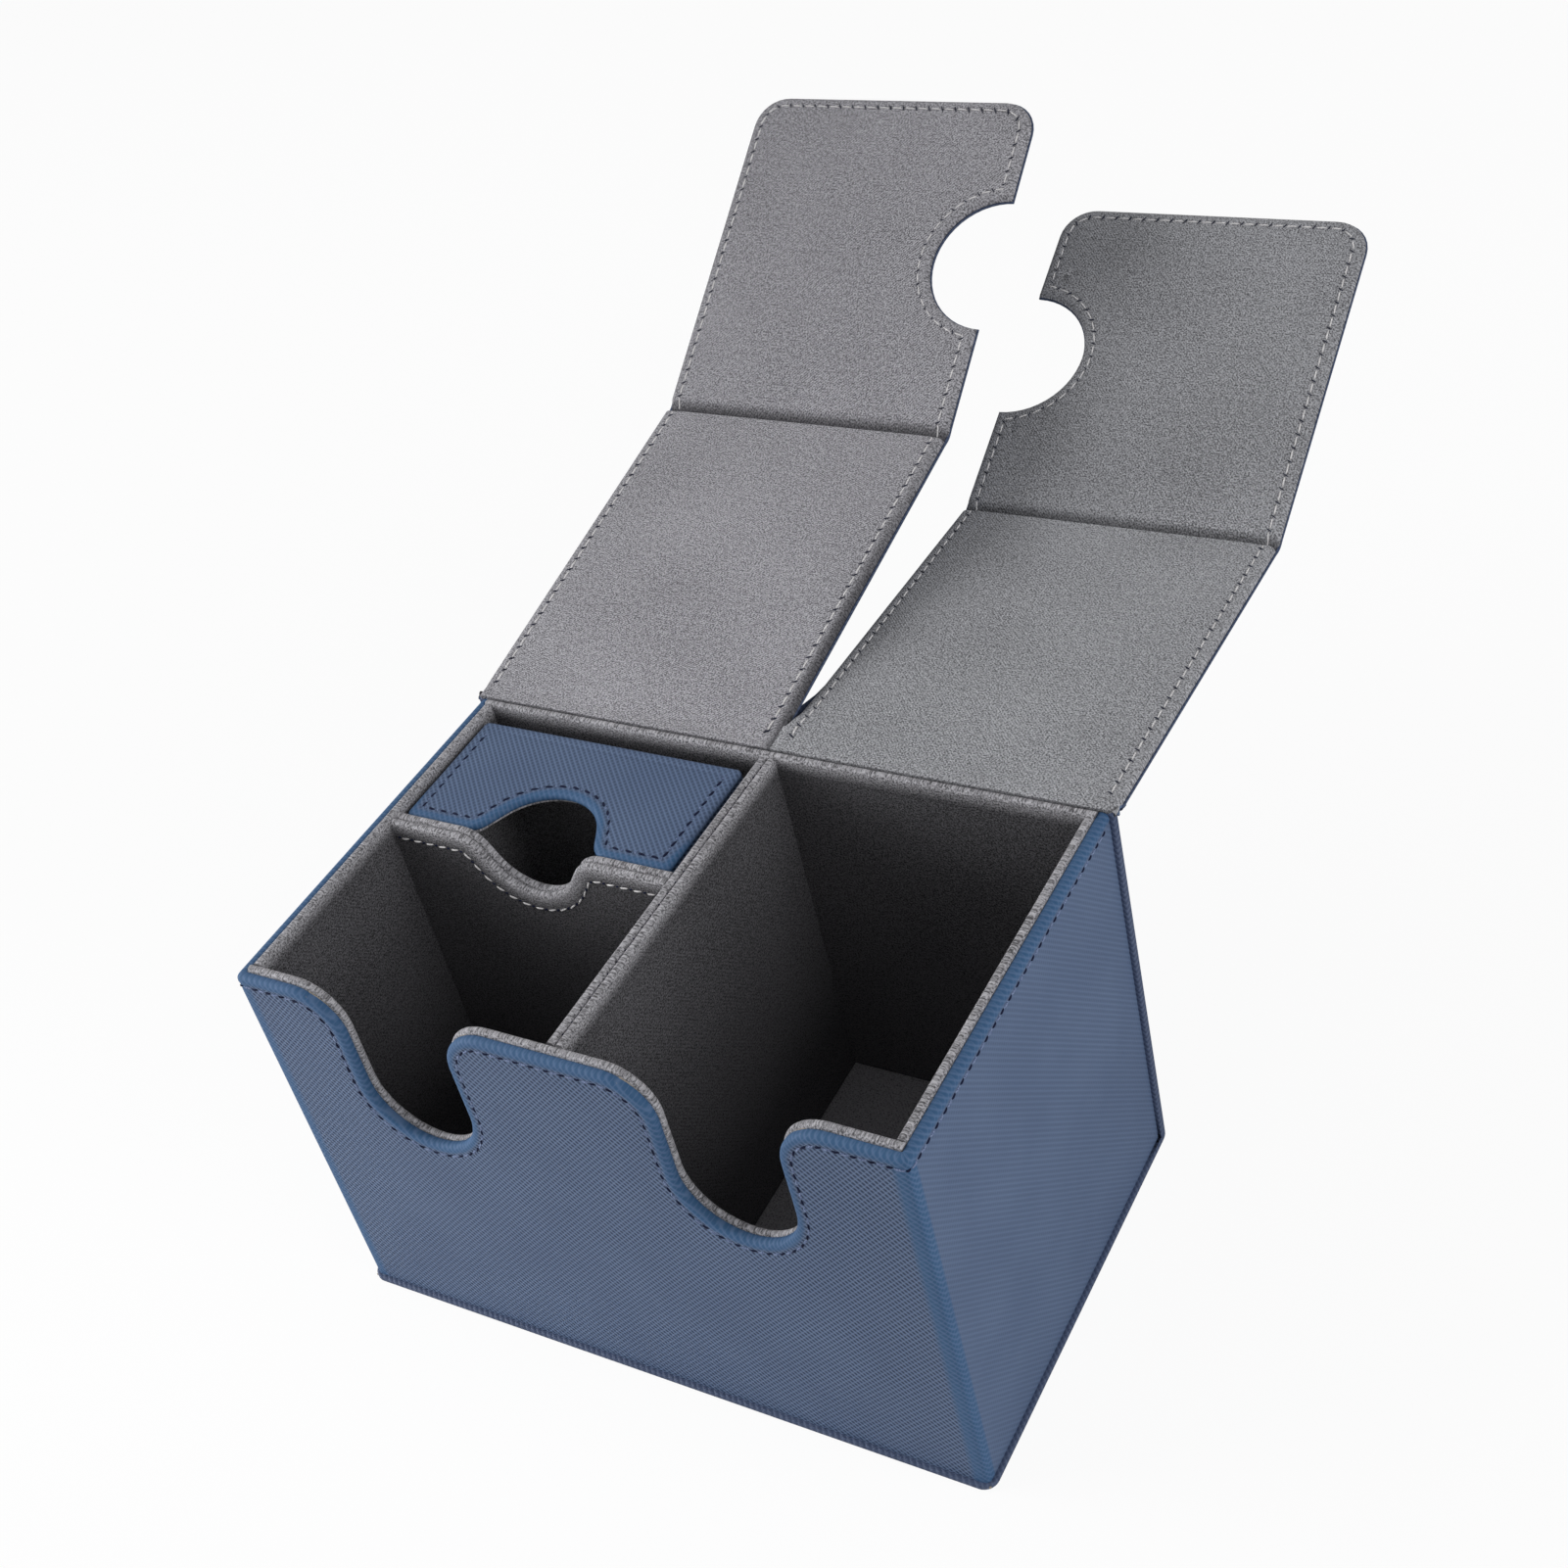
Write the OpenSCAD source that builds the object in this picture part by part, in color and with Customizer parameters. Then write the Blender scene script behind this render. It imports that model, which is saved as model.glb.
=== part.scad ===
// Twin card box in leather-covered board: a case with two bays, two folding
// lids that share one rear hinge, and a drawer that lifts out of the left bay.
// Origin: on the table, under the middle of the case walls. +Z is up, -Y is the
// front, and +X is the right hand of someone who looks at the front.

/* [Case] */
// Width over the two side walls
case_w = 156; // [140:1:180]
// Depth from the front face to the back face
case_d = 96; // [88:1:120]
// Height of the leather wall tops above the table
wall_h = 98.6; // [94:0.2:120]
// Thickness of a wall board with its leather
wall_t = 2.2; // [1.8:0.1:2.6]
// Thickness of the leather
leather_t = 0.7; // [0.5:0.1:0.8]
// Outside radius of the two upright front corners
wall_corner_r = 3; // [2.8:0.1:5]
// Thickness of a suede-covered lining board
lining_t = 2; // [1.4:0.1:2.6]
// How far the lining boards stand above the leather wall tops
lining_rise = 0.6; // [0:0.1:1]

/* [Base and back] */
// Thickness of the base board with its leather
base_t = 2.2; // [1.8:0.1:3]
// Thickness of the back board with its leather
back_t = 2.4; // [1.8:0.1:3]
// How far the base and the back stand out past the walls
wrap_overhang = 1.3; // [0.6:0.1:2]
// Radius of the base's front corners, seen from above
base_corner_r = 3.6; // [3:0.1:6]
// Radius of the back's lower outside edge
heel_r = 1.6; // [1:0.1:1.7]
// Thickness of the suede floors
floor_t = 1.4; // [0.8:0.1:2]

/* [Front notches] */
// Width of a card notch in the front wall
notch_w = 26.8; // [22:0.2:32]
// Depth of a card notch below the wall top
notch_depth = 38.4; // [30:0.2:60]
// Radius of the shoulders at the top of a notch
notch_shoulder_r = 11; // [6:0.5:12]
// How far both notches stand to the right of the middle of their bays
notch_shift = -1.6; // [-4:0.2:4]

/* [Dividers] */
// Thickness of one ply of a divider, of which there are two
ply_t = 2.1; // [1.4:0.1:2.6]
// How far the divider tops lie below the lining board tops
divider_drop = 0.7; // [0:0.1:3]
// Gap between the centre divider and the front lining
divider_gap = 0.6; // [0.2:0.1:0.9]
// Depth of the card pocket in front of the cross divider
pocket_d = 46; // [36:1:48]
// Width of the wave notch in the cross divider, between its shoulder tops
wave_w = 36.6; // [36.4:0.2:44]
// Depth of the wave notch in the cross divider
wave_depth = 12.5; // [8:0.5:13]
// Radius of the wave's bottom
wave_bottom_r = 12; // [8:0.5:12]
// Radius of the wave's shoulders
wave_shoulder_r = 7; // [4:0.5:7]

/* [Drawer] */
// Play on either side of the drawer
drawer_play = 1; // [0.5:0.1:1.5]
// Gap between the drawer and the cross divider
drawer_gap = 0.3; // [0.2:0.1:0.9]
// Gap between the drawer and the floor
drawer_lift = 0.1; // [0.1:0.1:0.5]
// Gap behind the drawer
drawer_back_gap = 3.9; // [2:0.1:8]
// Height of the drawer
drawer_h = 94; // [86:0.2:94.6]
// Thickness of a drawer board with its leather
drawer_board_t = 2; // [1.4:0.1:2.6]
// Thickness of the drawer's suede lining boards
drawer_lining_t = 1; // [0.6:0.1:1.2]
// Radius of the drawer's upright corners
drawer_corner_r = 1.4; // [1:0.1:1.8]
// Width of the thumb notch in the drawer top, between its shoulder tops
thumb_w = 37.3; // [36:0.1:44]
// Depth of the thumb notch in the drawer top
thumb_depth = 14.8; // [12:0.2:18]
// Radius of the thumb notch's crown
thumb_crown_r = 13.3; // [10:0.1:13.6]
// Radius of the thumb notch's shoulders
thumb_shoulder_r = 5; // [3:0.5:5.5]

/* [Lids] */
// Thickness of a lid panel
lid_t = 3.4; // [3:0.1:4.4]
// Thickness of the suede on the inside of a lid
lid_lining_t = 0.7; // [0.5:0.1:1]
// How far the suede stays in from the leather edges
lid_lining_inset = 0.3; // [0.1:0.1:0.6]
// Slit between the two lids
lid_slit = 0.6; // [0.4:0.1:1.2]
// Clearance between a closed lid and the lining boards
lid_clear = 0.4; // [0.2:0.1:1]
// Radius of the corners at the hinge end of a lid
lid_corner_r = 1.2; // [0.9:0.1:2]
// Radius of the hinge fold along the top of the back
hinge_r = 0.9; // [0.7:0.1:1]
// Distance of the hinge line in from the back face
hinge_inset = 0.2; // [0:0.1:0.5]
// Distance from the hinge line to the lid panels
hinge_reach = 1.5; // [1.4:0.1:1.8]
// Running clearance round the folds
fold_play = 0.2; // [0.15:0.05:0.3]
// How far the left lid stands open, in degrees
left_open_angle = 169.4; // [0:0.1:190]
// How far the right lid stands open, in degrees
right_open_angle = 182.3; // [0:0.1:190]

/* [Flaps] */
// Length of a front flap, from its fold to its free end
flap_len = 89; // [80:1:94]
// Radius of the corners at the free end of a flap
flap_corner_r = 8.5; // [5:0.5:12]
// Radius of the half-round finger notch
finger_r = 17.2; // [12:0.2:20]
// Distance of the finger notch from the fold
finger_at = 45.2; // [40:0.2:50]
// Radius of the leather fold between a lid and its flap
crease_r = 1.2; // [1:0.1:1.3]
// Clearance between a closed flap and the front wall
flap_clear = 0.4; // [0.3:0.1:1]
// Clearance between the inner corners of a lid and its flap
corner_clear = 0.3; // [0.2:0.1:0.6]
// How far the left flap is folded in, in degrees
left_fold_angle = 23.8; // [0:0.1:90]
// How far the right flap is folded in, in degrees
right_fold_angle = 28.6; // [0:0.1:90]

/* [Magnets] */
// Radius of a closure magnet and of its mate in the wall
magnet_r = 5; // [3:0.5:7]
// Distance of a magnet from the free end of its flap
magnet_in = 14; // [12:0.5:20]
// Clearance round a magnet in its board
magnet_play = 0.1; // [0.1:0.05:0.3]

/* [Hidden] */
$fn = 64;
overrun = 1;        // how far every cut runs past what it cuts
fold_lip_share = 0.5; // where the skin stops, as a share of the fold's radius

wrap_w = case_w + 2 * wrap_overhang;
front_y = -case_d / 2;
back_y = case_d / 2;
inner_x = case_w / 2 - wall_t - lining_t;
lining_front_y = front_y + wall_t;
pocket_front_y = lining_front_y + lining_t;
lining_back_y = back_y - back_t;
pocket_back_y = lining_back_y - lining_t;
lining_top = wall_h + lining_rise;
divider_top = lining_top - divider_drop;
floor_z = base_t + floor_t;
bay_w = inner_x - ply_t;
bay_x = ply_t + bay_w / 2;
cross_y = pocket_front_y + pocket_d;
cross_back_y = cross_y + 2 * ply_t;
core_top = wall_h - wall_t / 2;

hinge_y = back_y - hinge_inset;
hinge_z = lining_top + lid_clear;
back_h = hinge_z - hinge_r;
lid_core_t = lid_t - lid_lining_t - leather_t;
inner_corner = hinge_y - front_y + flap_clear;  // along a lid, to where a closed flap's inside starts
crease_h = lid_t - crease_r;                    // from a lid's inside to the fold's centre
crease_at = inner_corner + crease_h;
panel_gap = crease_h + corner_clear;            // from the fold's centre to either panel
lid_end = crease_at - panel_gap;
lid_w = wrap_w / 2 - lid_slit / 2;

drawer_w = bay_w - 2 * drawer_play;
drawer_d = pocket_back_y - drawer_back_gap - cross_back_y - drawer_gap;
drawer_x = -bay_x - drawer_w / 2;
drawer_y = cross_back_y + drawer_gap;
drawer_z = floor_z + drawer_lift;
drawer_shell_t = drawer_board_t + drawer_lining_t;
drawer_side_d = drawer_d - drawer_board_t;

magnet_f = flap_len - magnet_in;
magnet_z = hinge_z + crease_h - magnet_f;       // height of a closed flap's magnet
magnet_x = lid_slit / 2 + lid_w / 2;

leather = "#4c607e";
suede = "#7b7c82";
board = "#9a9184";
steel = "#b8bcc2";

// Flat shapes

// A rectangle from the origin with its own radius at each corner, counted
// from the origin's corner round by the +X corner. A radius of 0 stays square.
module plate_2d(w, d, radii) {
    at = [[0, 0], [w, 0], [w, d], [0, d]];
    in = [[1, 1], [-1, 1], [-1, -1], [1, -1]];
    difference() {
        square([w, d]);
        for (i = [0:3])
            if (radii[i] > 0)
                difference() {
                    translate([in[i].x > 0 ? at[i].x - overrun : at[i].x - radii[i],
                               in[i].y > 0 ? at[i].y - overrun : at[i].y - radii[i]])
                        square(radii[i] + overrun);
                    translate(at[i] + radii[i] * in[i]) circle(r = radii[i]);
                }
    }
}

// A board standing on its edge, with a full round along its top
module round_top_2d(t, h) {
    square([t, h - t / 2]);
    translate([t / 2, h - t / 2]) circle(r = t / 2);
}

// A U-shaped notch that hangs from y = 0, with rounded shoulders. grow widens
// and deepens it, so that leather can line the cut in a board.
module u_notch_2d(grow = 0) {
    a = notch_w / 2 + grow;
    r = notch_shoulder_r - grow;
    bottom = -notch_depth - grow + a;
    translate([0, bottom]) circle(r = a);
    translate([-a, bottom]) square([2 * a, overrun - bottom]);
    for (side = [-1, 1])
        difference() {
            translate([side > 0 ? a : -a - r, -r]) square([r, r + overrun]);
            translate([side * (a + r), -r]) circle(r = r);
        }
}

// A wave-shaped notch that hangs from y = 0. Straight flanks join its round
// bottom to its round shoulders, on their common tangents.
module wave_notch_2d(w, depth, low_r, high_r) {
    low = [0, low_r - depth];
    high = [w / 2, -high_r];
    reach = norm(high - low);
    lean = atan2(high.y - low.y, high.x) - acos((low_r + high_r) / reach);
    n = [cos(lean), sin(lean)];
    foot = low + low_r * n;
    brow = high - high_r * n;
    translate(low) circle(r = low_r);
    for (side = [0, 1]) mirror([side, 0])
        difference() {
            polygon([low, foot, brow, high, [high.x, overrun], [0, overrun]]);
            translate(high) circle(r = high_r);
        }
}

// Frames of the moving parts

module lid_open(angle)
    translate([0, hinge_y, hinge_z]) rotate([-angle, 0, 0]) translate([0, -hinge_y, -hinge_z])
        children();

module flap_fold(angle) {
    y = hinge_y - crease_at;
    z = hinge_z + crease_h;
    translate([0, y, z]) rotate([angle, 0, 0]) translate([0, -y, -z]) children();
}

// Lays a flat shape on a closed lid: its x runs out from the slit and its y
// runs forward from the hinge line. The layer lies from low to high, measured
// up from the inside face.
module layer(low, high)
    translate([lid_slit / 2, hinge_y, hinge_z + low]) mirror([0, 1, 0])
        linear_extrude(height = high - low) children();

// A rod across one lid, along its fold
module across(r, at, h)
    translate([lid_slit / 2, hinge_y - at, hinge_z + h]) rotate([0, 90, 0])
        cylinder(r = r, h = lid_w);

module mirrored(side)
    if (side < 0) mirror([1, 0, 0]) children();
    else children();

module on_lid(side)
    lid_open(side < 0 ? left_open_angle : right_open_angle) mirrored(side) children();

module on_flap(side)
    on_lid(side) flap_fold(side < 0 ? left_fold_angle : right_fold_angle) children();

// Base, back and walls

module base_2d(in)
    translate([-wrap_w / 2 + in, front_y - wrap_overhang + in])
        plate_2d(wrap_w - 2 * in, case_d - back_t + wrap_overhang - 2 * in,
                 [base_corner_r - in, base_corner_r - in, 0, 0]);

module base_cover()
    color(leather) difference() {
        linear_extrude(height = base_t) base_2d(0);
        translate([0, 0, leather_t]) linear_extrude(height = base_t) base_2d(leather_t);
    }

module base_core()
    color(board) translate([0, 0, leather_t])
        linear_extrude(height = base_t - leather_t) base_2d(leather_t);

// Section of the back across its width, from its inside face at x = 0
module back_2d() plate_2d(back_t, back_h, [0, heel_r, 0, 0]);

module back_core()
    color(board) translate([-wrap_w / 2 + leather_t, lining_back_y, heel_r])
        cube([wrap_w - 2 * leather_t, back_t - leather_t, back_h - heel_r - leather_t]);

module back_cover()
    color(leather) difference() {
        translate([-wrap_w / 2, lining_back_y, 0]) rotate([90, 0, 90])
            linear_extrude(height = wrap_w) back_2d();
        translate([-wrap_w / 2 + leather_t, lining_back_y - overrun, heel_r])
            cube([wrap_w - 2 * leather_t, back_t - leather_t + overrun,
                  back_h - heel_r - leather_t]);
    }

// Section of the wall, from its outside face at x = 0
module wall_2d() round_top_2d(wall_t, wall_h - base_t);

// A straight run of wall that starts at the origin, with its outside face on
// x = 0 and its inside towards +X, and runs towards -Y
module wall_run(length)
    rotate([90, 0, 0]) linear_extrude(height = length) wall_2d();

module notch_cut(grow = 0)
    for (side = [-1, 1])
        translate([side * bay_x + notch_shift, pocket_front_y + overrun, wall_h])
            rotate([90, 0, 0])
                linear_extrude(height = wall_t + lining_t + wrap_overhang + 2 * overrun)
                    u_notch_2d(grow);

// The room for a wall's board. As a cut, it runs past the wall's open sides.
module side_wall_room(side, past = 0)
    mirrored(-side)
        translate([-case_w / 2 + leather_t, front_y + wall_corner_r, base_t - past])
            cube([wall_t - leather_t + past,
                  lining_back_y - front_y - wall_corner_r + past, core_top - base_t + past]);

module front_wall_room(past = 0)
    difference() {
        translate([-case_w / 2 + wall_corner_r, front_y + leather_t, base_t - past])
            cube([case_w - 2 * wall_corner_r, wall_t - leather_t + past,
                  core_top - base_t + past]);
        notch_cut(leather_t);
    }

module wall_cover()
    color(leather) difference() {
        union() {
            for (side = [-1, 1]) mirrored(-side) {
                translate([-case_w / 2, lining_back_y, base_t])
                    wall_run(lining_back_y - front_y - wall_corner_r);
                translate([-case_w / 2 + wall_corner_r, front_y + wall_corner_r, base_t])
                    rotate([0, 0, 180]) rotate_extrude(angle = 90)
                        translate([wall_corner_r, 0]) mirror([1, 0]) wall_2d();
            }
            translate([-case_w / 2 + wall_corner_r, front_y, base_t]) rotate([0, 0, 90])
                wall_run(case_w - 2 * wall_corner_r);
        }
        notch_cut();
        for (side = [-1, 1]) side_wall_room(side, overrun);
        front_wall_room(overrun);
        translate([-inner_x - lining_t, lining_front_y, base_t - overrun])
            cube([2 * (inner_x + lining_t), case_d, wall_h]);
    }

module side_wall_core(side)
    color(board) side_wall_room(side);

module front_wall_core()
    color(board) difference() {
        front_wall_room();
        for (side = [-1, 1])
            translate([side * magnet_x, pocket_front_y, magnet_z]) rotate([90, 0, 0])
                cylinder(r = magnet_r + magnet_play, h = wall_t + lining_t);
    }

module catch_plate(side)
    color(steel) translate([side * magnet_x, lining_front_y, magnet_z]) rotate([90, 0, 0])
        cylinder(r = magnet_r, h = wall_t - leather_t);

// Linings, floors and dividers

// A lining board of a given length along X, standing on the base, with its
// outside face on y = 0 and its inside towards +Y
module lining_board(length)
    rotate([90, 0, 90]) linear_extrude(height = length)
        round_top_2d(lining_t, lining_top - base_t);

module side_lining(side)
    color(suede) mirrored(-side)
        translate([-inner_x - lining_t, pocket_back_y, base_t]) rotate([0, 0, -90])
            lining_board(pocket_back_y - pocket_front_y);

module front_lining()
    color(suede) difference() {
        translate([-inner_x - lining_t, lining_front_y, base_t])
            lining_board(2 * (inner_x + lining_t));
        notch_cut();
    }

module back_lining()
    color(suede) translate([-inner_x - lining_t, pocket_back_y, base_t])
        lining_board(2 * (inner_x + lining_t));

module floor_lining(side)
    color(suede) translate([side < 0 ? -inner_x : ply_t, pocket_front_y, base_t])
        cube([bay_w, pocket_back_y - pocket_front_y, floor_t]);

module divider_ply(side)
    color(suede) translate([side < 0 ? 0 : ply_t, pocket_front_y + divider_gap, base_t])
        rotate([0, 0, 90]) rotate([90, 0, 90])
            linear_extrude(height = pocket_back_y - pocket_front_y - divider_gap)
                round_top_2d(ply_t, divider_top - base_t);

module cross_ply(rank)
    color(suede) difference() {
        translate([-inner_x, cross_y + rank * ply_t, floor_z]) rotate([90, 0, 90])
            linear_extrude(height = bay_w) round_top_2d(ply_t, divider_top - floor_z);
        translate([-bay_x, cross_back_y + overrun, divider_top]) rotate([90, 0, 0])
            linear_extrude(height = 2 * (ply_t + overrun))
                wave_notch_2d(wave_w, wave_depth, wave_bottom_r, wave_shoulder_r);
    }

// The fold lies along the top of the back, with a tongue that runs forward
// under it to the back lining.
module hinge_fold()
    color(leather) translate([-wrap_w / 2, hinge_y, hinge_z]) rotate([90, 0, 90])
        linear_extrude(height = wrap_w) {
            circle(r = hinge_r);
            translate([lining_back_y - hinge_y, -hinge_r])
                square([hinge_y - lining_back_y, hinge_r - fold_play]);
        }

// Lids and flaps

module lid_2d(in)
    translate([in, hinge_reach + in])
        plate_2d(lid_w - 2 * in, lid_end - hinge_reach - 2 * in,
                 [lid_corner_r - in, lid_corner_r - in, 0, 0]);

module lid_cover(side)
    color(leather) on_lid(side) {
        difference() {
            layer(lid_lining_t, lid_t) lid_2d(0);
            layer(lid_lining_t - overrun, lid_t - leather_t) lid_2d(leather_t);
        }
        difference() {
            layer(lid_t - leather_t, lid_t) translate([0, lid_end])
                square([lid_w, panel_gap - crease_r * fold_lip_share]);
            across(crease_r, crease_at, crease_h);
        }
    }

module lid_core(side)
    color(board) on_lid(side) layer(lid_lining_t, lid_t - leather_t) lid_2d(leather_t);

// The suede runs on to the hinge fold.
module lid_lining(side)
    color(suede) on_lid(side) layer(0, lid_lining_t)
        translate([lid_lining_inset, hinge_r + fold_play])
            square([lid_w - 2 * lid_lining_inset, lid_end - hinge_r - fold_play]);

module crease_fold(side)
    color(leather) on_lid(side) across(crease_r, crease_at, crease_h);

module flap_2d(in)
    translate([0, crease_at]) difference() {
        translate([in, panel_gap + in])
            plate_2d(lid_w - 2 * in, flap_len - panel_gap - 2 * in,
                     [0, 0, flap_corner_r - in, flap_corner_r - in]);
        translate([-lid_slit / 2, finger_at]) circle(r = finger_r + in);
    }

module magnet_hole(r, low, high)
    layer(low, high) translate([magnet_x - lid_slit / 2, crease_at + magnet_f]) circle(r = r);

module flap_cover(side)
    color(leather) on_flap(side) {
        difference() {
            layer(lid_lining_t, lid_t) flap_2d(0);
            layer(lid_lining_t - overrun, lid_t - leather_t) flap_2d(leather_t);
        }
        difference() {
            layer(lid_t - leather_t, lid_t) translate([0, crease_at + crease_r * fold_lip_share])
                square([lid_w, panel_gap - crease_r * fold_lip_share]);
            across(crease_r + fold_play, crease_at, crease_h);
        }
    }

module flap_core(side)
    color(board) on_flap(side) difference() {
        layer(lid_lining_t, lid_t - leather_t) flap_2d(leather_t);
        magnet_hole(magnet_r + magnet_play, lid_lining_t - overrun, lid_t);
    }

module flap_lining(side)
    color(suede) on_flap(side) layer(0, lid_lining_t) flap_2d(lid_lining_inset);

module flap_magnet(side)
    color(steel) on_flap(side) magnet_hole(magnet_r, lid_lining_t, lid_t - leather_t);

// Drawer

module drawer_frame() translate([drawer_x, drawer_y, drawer_z]) children();

module thumb_2d(in)
    translate([drawer_w / 2 - in, 0]) mirror([0, 1])
        wave_notch_2d(thumb_w, thumb_depth, thumb_crown_r, thumb_shoulder_r);

module drawer_end_2d()
    plate_2d(drawer_w, drawer_d,
             [drawer_corner_r, drawer_corner_r, drawer_corner_r, drawer_corner_r]);

module drawer_top()
    color(leather) drawer_frame() translate([0, 0, drawer_h - drawer_board_t])
        linear_extrude(height = drawer_board_t) difference() {
            drawer_end_2d();
            thumb_2d(0);
        }

module drawer_bottom()
    color(leather) drawer_frame() linear_extrude(height = drawer_board_t) drawer_end_2d();

module drawer_back()
    color(leather) drawer_frame() translate([0, drawer_side_d, drawer_board_t])
        linear_extrude(height = drawer_h - 2 * drawer_board_t)
            plate_2d(drawer_w, drawer_board_t, [0, 0, drawer_corner_r, drawer_corner_r]);

module drawer_side(side)
    color(leather) drawer_frame()
        translate([side < 0 ? 0 : drawer_w - drawer_board_t, 0, drawer_board_t])
            linear_extrude(height = drawer_h - 2 * drawer_board_t)
                plate_2d(drawer_board_t, drawer_side_d,
                         side < 0 ? [drawer_corner_r, 0, 0, 0] : [0, drawer_corner_r, 0, 0]);

// The top and bottom linings lie between the side linings and the back lining.
module drawer_end_lining_2d()
    square([drawer_w - 2 * drawer_shell_t, drawer_d - drawer_shell_t]);

module drawer_top_lining()
    color(suede) drawer_frame() translate([drawer_shell_t, 0, drawer_h - drawer_shell_t])
        linear_extrude(height = drawer_lining_t) difference() {
            drawer_end_lining_2d();
            thumb_2d(drawer_shell_t);
        }

module drawer_bottom_lining()
    color(suede) drawer_frame() translate([drawer_shell_t, 0, drawer_board_t])
        linear_extrude(height = drawer_lining_t) drawer_end_lining_2d();

module drawer_back_lining()
    color(suede) drawer_frame()
        translate([drawer_shell_t, drawer_d - drawer_shell_t, drawer_board_t])
            cube([drawer_w - 2 * drawer_shell_t, drawer_lining_t, drawer_h - 2 * drawer_board_t]);

module drawer_side_lining(side)
    color(suede) drawer_frame()
        translate([side < 0 ? drawer_board_t : drawer_w - drawer_shell_t, 0, drawer_board_t])
            cube([drawer_lining_t, drawer_side_d, drawer_h - 2 * drawer_board_t]);

base_cover();
base_core();
back_cover();
back_core();
wall_cover();
side_wall_core(-1);  // left_wall_core
front_wall_core();
side_wall_core(1);  // right_wall_core
side_lining(-1);  // left_lining
front_lining();
side_lining(1);  // right_lining
back_lining();
floor_lining(-1);  // left_floor
floor_lining(1);  // right_floor
divider_ply(-1);  // divider_left_ply
divider_ply(1);  // divider_right_ply
cross_ply(0);  // cross_divider_front_ply
cross_ply(1);  // cross_divider_rear_ply
catch_plate(-1);  // left_catch_plate
catch_plate(1);  // right_catch_plate
hinge_fold();
lid_cover(-1);  // left_lid_cover
lid_core(-1);  // left_lid_core
lid_lining(-1);  // left_lid_lining
crease_fold(-1);  // left_crease_fold
flap_cover(-1);  // left_flap_cover
flap_core(-1);  // left_flap_core
flap_lining(-1);  // left_flap_lining
flap_magnet(-1);  // left_flap_magnet
lid_cover(1);  // right_lid_cover
lid_core(1);  // right_lid_core
lid_lining(1);  // right_lid_lining
crease_fold(1);  // right_crease_fold
flap_cover(1);  // right_flap_cover
flap_core(1);  // right_flap_core
flap_lining(1);  // right_flap_lining
flap_magnet(1);  // right_flap_magnet
drawer_top();
drawer_bottom();
drawer_side(-1);  // drawer_left_side
drawer_side(1);  // drawer_right_side
drawer_back();
drawer_top_lining();
drawer_bottom_lining();
drawer_side_lining(-1);  // drawer_left_lining
drawer_side_lining(1);  // drawer_right_lining
drawer_back_lining();
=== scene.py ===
import math

import bmesh
import bpy
from mathutils import Matrix, Vector, noise
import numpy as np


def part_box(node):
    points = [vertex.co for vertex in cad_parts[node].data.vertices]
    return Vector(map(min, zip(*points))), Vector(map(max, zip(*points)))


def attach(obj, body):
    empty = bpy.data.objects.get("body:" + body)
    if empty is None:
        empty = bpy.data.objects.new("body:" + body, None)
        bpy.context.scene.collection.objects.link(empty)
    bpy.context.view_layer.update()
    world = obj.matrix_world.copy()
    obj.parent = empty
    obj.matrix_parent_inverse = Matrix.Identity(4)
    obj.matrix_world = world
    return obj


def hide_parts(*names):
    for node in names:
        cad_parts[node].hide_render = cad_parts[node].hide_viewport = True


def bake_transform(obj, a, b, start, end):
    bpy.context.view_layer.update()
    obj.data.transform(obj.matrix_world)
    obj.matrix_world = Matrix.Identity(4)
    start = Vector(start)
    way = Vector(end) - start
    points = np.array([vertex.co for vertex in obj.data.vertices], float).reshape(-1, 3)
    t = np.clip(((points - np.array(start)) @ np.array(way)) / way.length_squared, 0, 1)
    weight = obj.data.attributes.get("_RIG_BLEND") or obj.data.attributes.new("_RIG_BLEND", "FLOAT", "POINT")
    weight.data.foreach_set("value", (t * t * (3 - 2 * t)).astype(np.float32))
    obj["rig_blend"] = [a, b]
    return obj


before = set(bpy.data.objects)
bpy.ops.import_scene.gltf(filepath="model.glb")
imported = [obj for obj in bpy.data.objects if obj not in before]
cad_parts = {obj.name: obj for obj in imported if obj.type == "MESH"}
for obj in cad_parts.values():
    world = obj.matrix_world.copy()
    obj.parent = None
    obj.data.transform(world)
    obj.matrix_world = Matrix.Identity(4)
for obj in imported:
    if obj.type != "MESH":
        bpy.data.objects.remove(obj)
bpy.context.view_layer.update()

mm = 0.001


# Shader nodes, written as sums

class Wire:
    def __init__(self, finish, socket):
        self.finish = finish
        self.socket = socket

    def join(self, operation, first, second=0.0):
        return self.finish.node("ShaderNodeMath", {"operation": operation}, {0: first, 1: second})

    def __add__(self, other):
        return self.join("ADD", self, other)

    def __sub__(self, other):
        return self.join("SUBTRACT", self, other)

    def __mul__(self, other):
        return self.join("MULTIPLY", self, other)

    def __truediv__(self, other):
        return self.join("DIVIDE", self, other)

    def __pow__(self, other):
        return self.join("POWER", self, other)

    def __rsub__(self, other):
        return self.join("SUBTRACT", other, self)

    __radd__ = __add__
    __rmul__ = __mul__

    def ripple(self):  # 0 in the groove at every whole number, 1 halfway
        return self.join("ABSOLUTE", self.join("SINE", self * math.pi))

    def between(self, low, high, fromValue=0.0, toValue=1.0):
        return self.finish.node("ShaderNodeMapRange", {"interpolation_type": "SMOOTHSTEP"},
                                {0: self, 1: low, 2: high, 3: fromValue, 4: toValue})


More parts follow.
